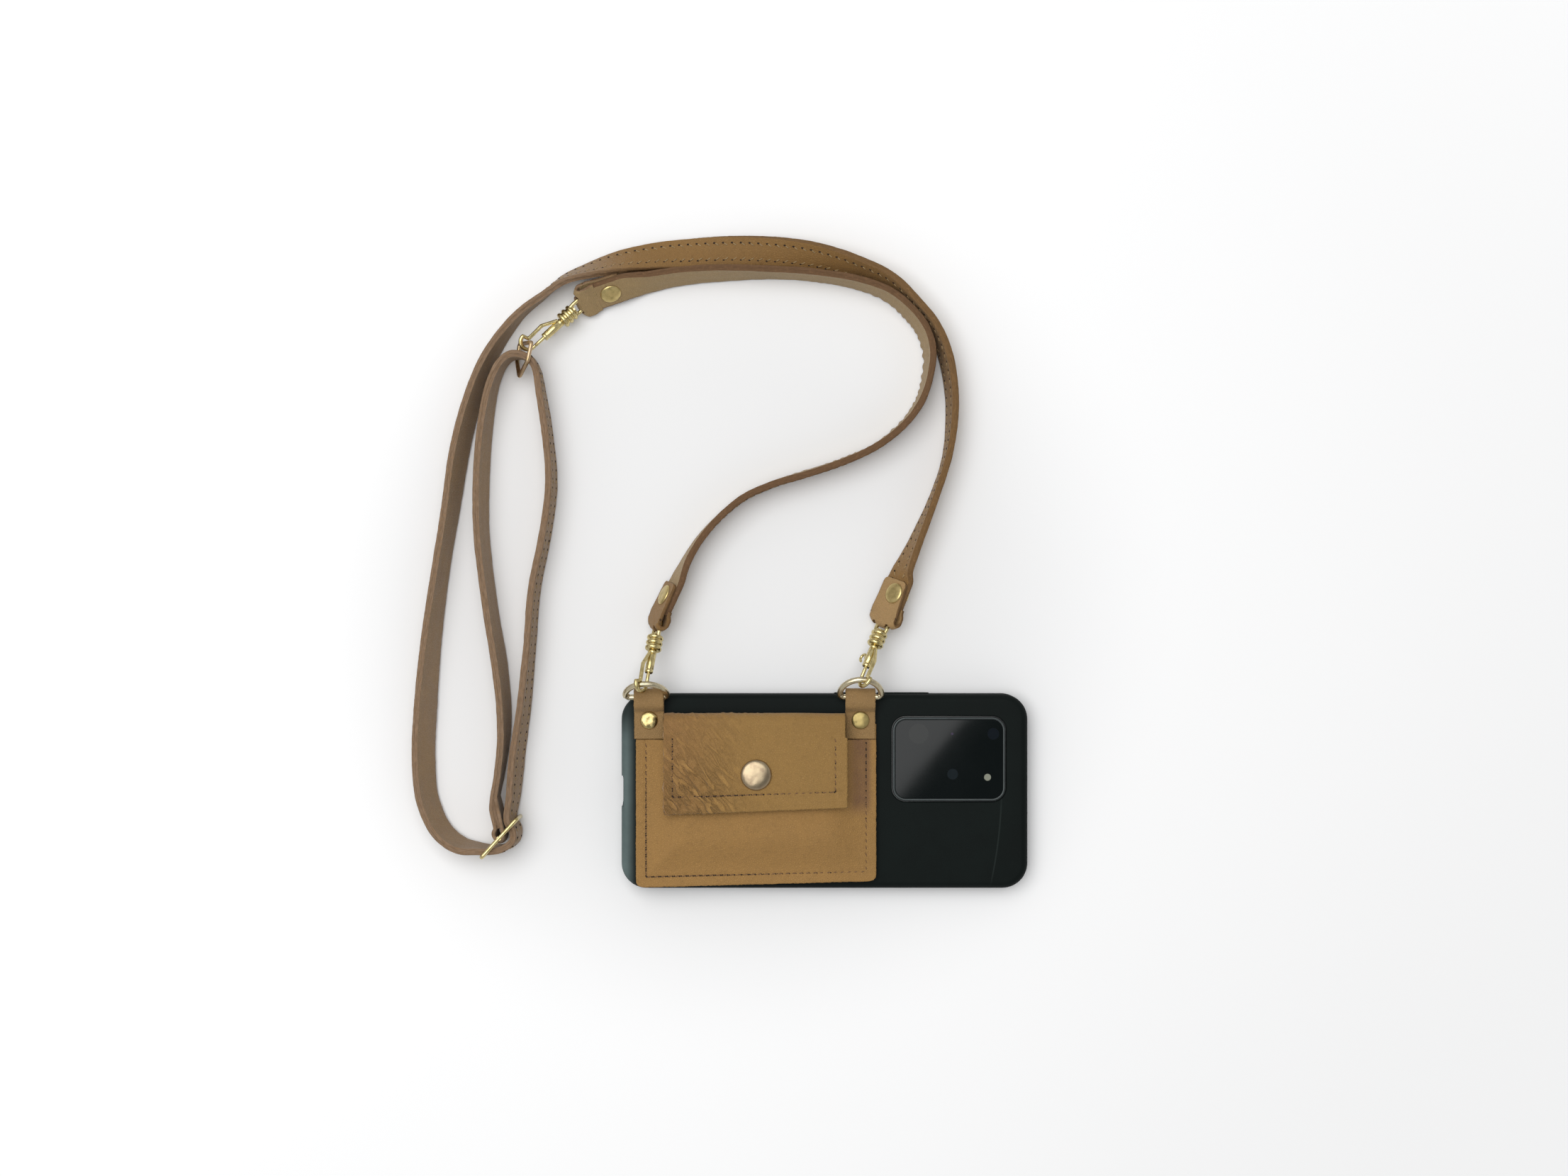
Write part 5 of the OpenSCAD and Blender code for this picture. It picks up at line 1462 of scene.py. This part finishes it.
# CAD nodes that keep their shape take a finish
kept = {
    "phone_frame": "frameMetal", "phone_core": "core", "phone_screen": "screen", "phone_back_glass": "backGlass",
    "camera_lenses": "lens", "camera_flash": "flash", "adhesive_sheet": "adhesive", "snap_socket": "cap",
    "snap_stud": "cap", "snap_post": "cap",
}
for node, use in kept.items():
    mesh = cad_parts[node].data
    mesh.materials.clear()
    mesh.materials.append(finishes[use].material)

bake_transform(flapPiece)

# Floor, light and surroundings
stageSet = {
    "floor": 3000, "world": 0.56, "panel": 1.8, "energy": 28, "panelHeight": 1.6, "panelX": -0.53, "panelY": 0.47,
    "panelTurn": 49.6, "insideX": -0.045, "insideY": 0.08,
}

bm = bmesh.new()
bmesh.ops.create_grid(bm, x_segments=1, y_segments=1, size=stageSet["floor"] * mm)
mesh = bpy.data.meshes.new("floor")
bm.to_mesh(mesh)
bm.free()
floor = bpy.data.objects.new("floor", mesh)
bpy.context.scene.collection.objects.link(floor)
floorFinish = Finish("tableTop", {"Roughness": 0.9, "Specular IOR Level": 0.0})
seen = floorFinish.add("ShaderNodeLightPath", out="Is Camera Ray")
x, y, z = floorFinish.split(floorFinish.spot())
away = ((x - stageSet["insideX"]) ** 2.0 + (y - stageSet["insideY"]) ** 2.0) ** 0.5
# painted shadow: the table is darker grey inside and around the strap's loop
table = floorFinish.mix(away.band(0.09, 0.2), (0.86, 0.86, 0.86), (1.0, 1.0, 1.0))
floorFinish.set("Base Color", floorFinish.mix(seen, (0.8, 0.8, 0.8), table))
floorFinish.set("Emission Color", floorFinish.mix(seen * away.band(0.3, 1.5), (0.0, 0.0, 0.0), (0.9, 0.9, 0.9)))
floorFinish.set("Emission Strength", 1.0)
mesh.materials.append(floorFinish.material)

world = bpy.data.worlds.new("studio")
bpy.context.scene.world = world
world.use_nodes = True
tree = world.node_tree
background = tree.nodes["Background"]
heading = tree.nodes.new("ShaderNodeTexCoord")
parts = tree.nodes.new("ShaderNodeSeparateXYZ")
ramp = tree.nodes.new("ShaderNodeValToRGB")
ramp.color_ramp.elements[0].position = 0.55
ramp.color_ramp.elements[0].color = (1, 1, 1, 1)
ramp.color_ramp.elements[1].position = 0.95
ramp.color_ramp.elements[1].color = (0.12, 0.13, 0.14, 1)
tree.links.new(heading.outputs["Generated"], parts.inputs[0])
tree.links.new(parts.outputs[2], ramp.inputs[0])
tree.links.new(ramp.outputs[0], background.inputs["Color"])
background.inputs["Strength"].default_value = stageSet["world"]
backdrop = tree.nodes.new("ShaderNodeBackground")
eye = tree.nodes.new("ShaderNodeLightPath")
choice = tree.nodes.new("ShaderNodeMixShader")
tree.links.new(eye.outputs["Is Camera Ray"], choice.inputs[0])
tree.links.new(background.outputs[0], choice.inputs[1])
tree.links.new(backdrop.outputs[0], choice.inputs[2])
backdrop.inputs["Color"].default_value = (1, 1, 1, 1)
tree.links.new(choice.outputs[0], tree.nodes["World Output"].inputs["Surface"])

panelData = bpy.data.lights.new("panel", "AREA")
panelData.shape = "SQUARE"
panelData.size = stageSet["panel"]
panelData.energy = stageSet["energy"]
panel = bpy.data.objects.new("panel", panelData)
panel.location = (stageSet["panelX"], stageSet["panelY"], stageSet["panelHeight"])
panel.rotation_euler = (0, 0, math.radians(stageSet["panelTurn"]))
panel.visible_camera = False
bpy.context.scene.collection.objects.link(panel)
print("stage lit")
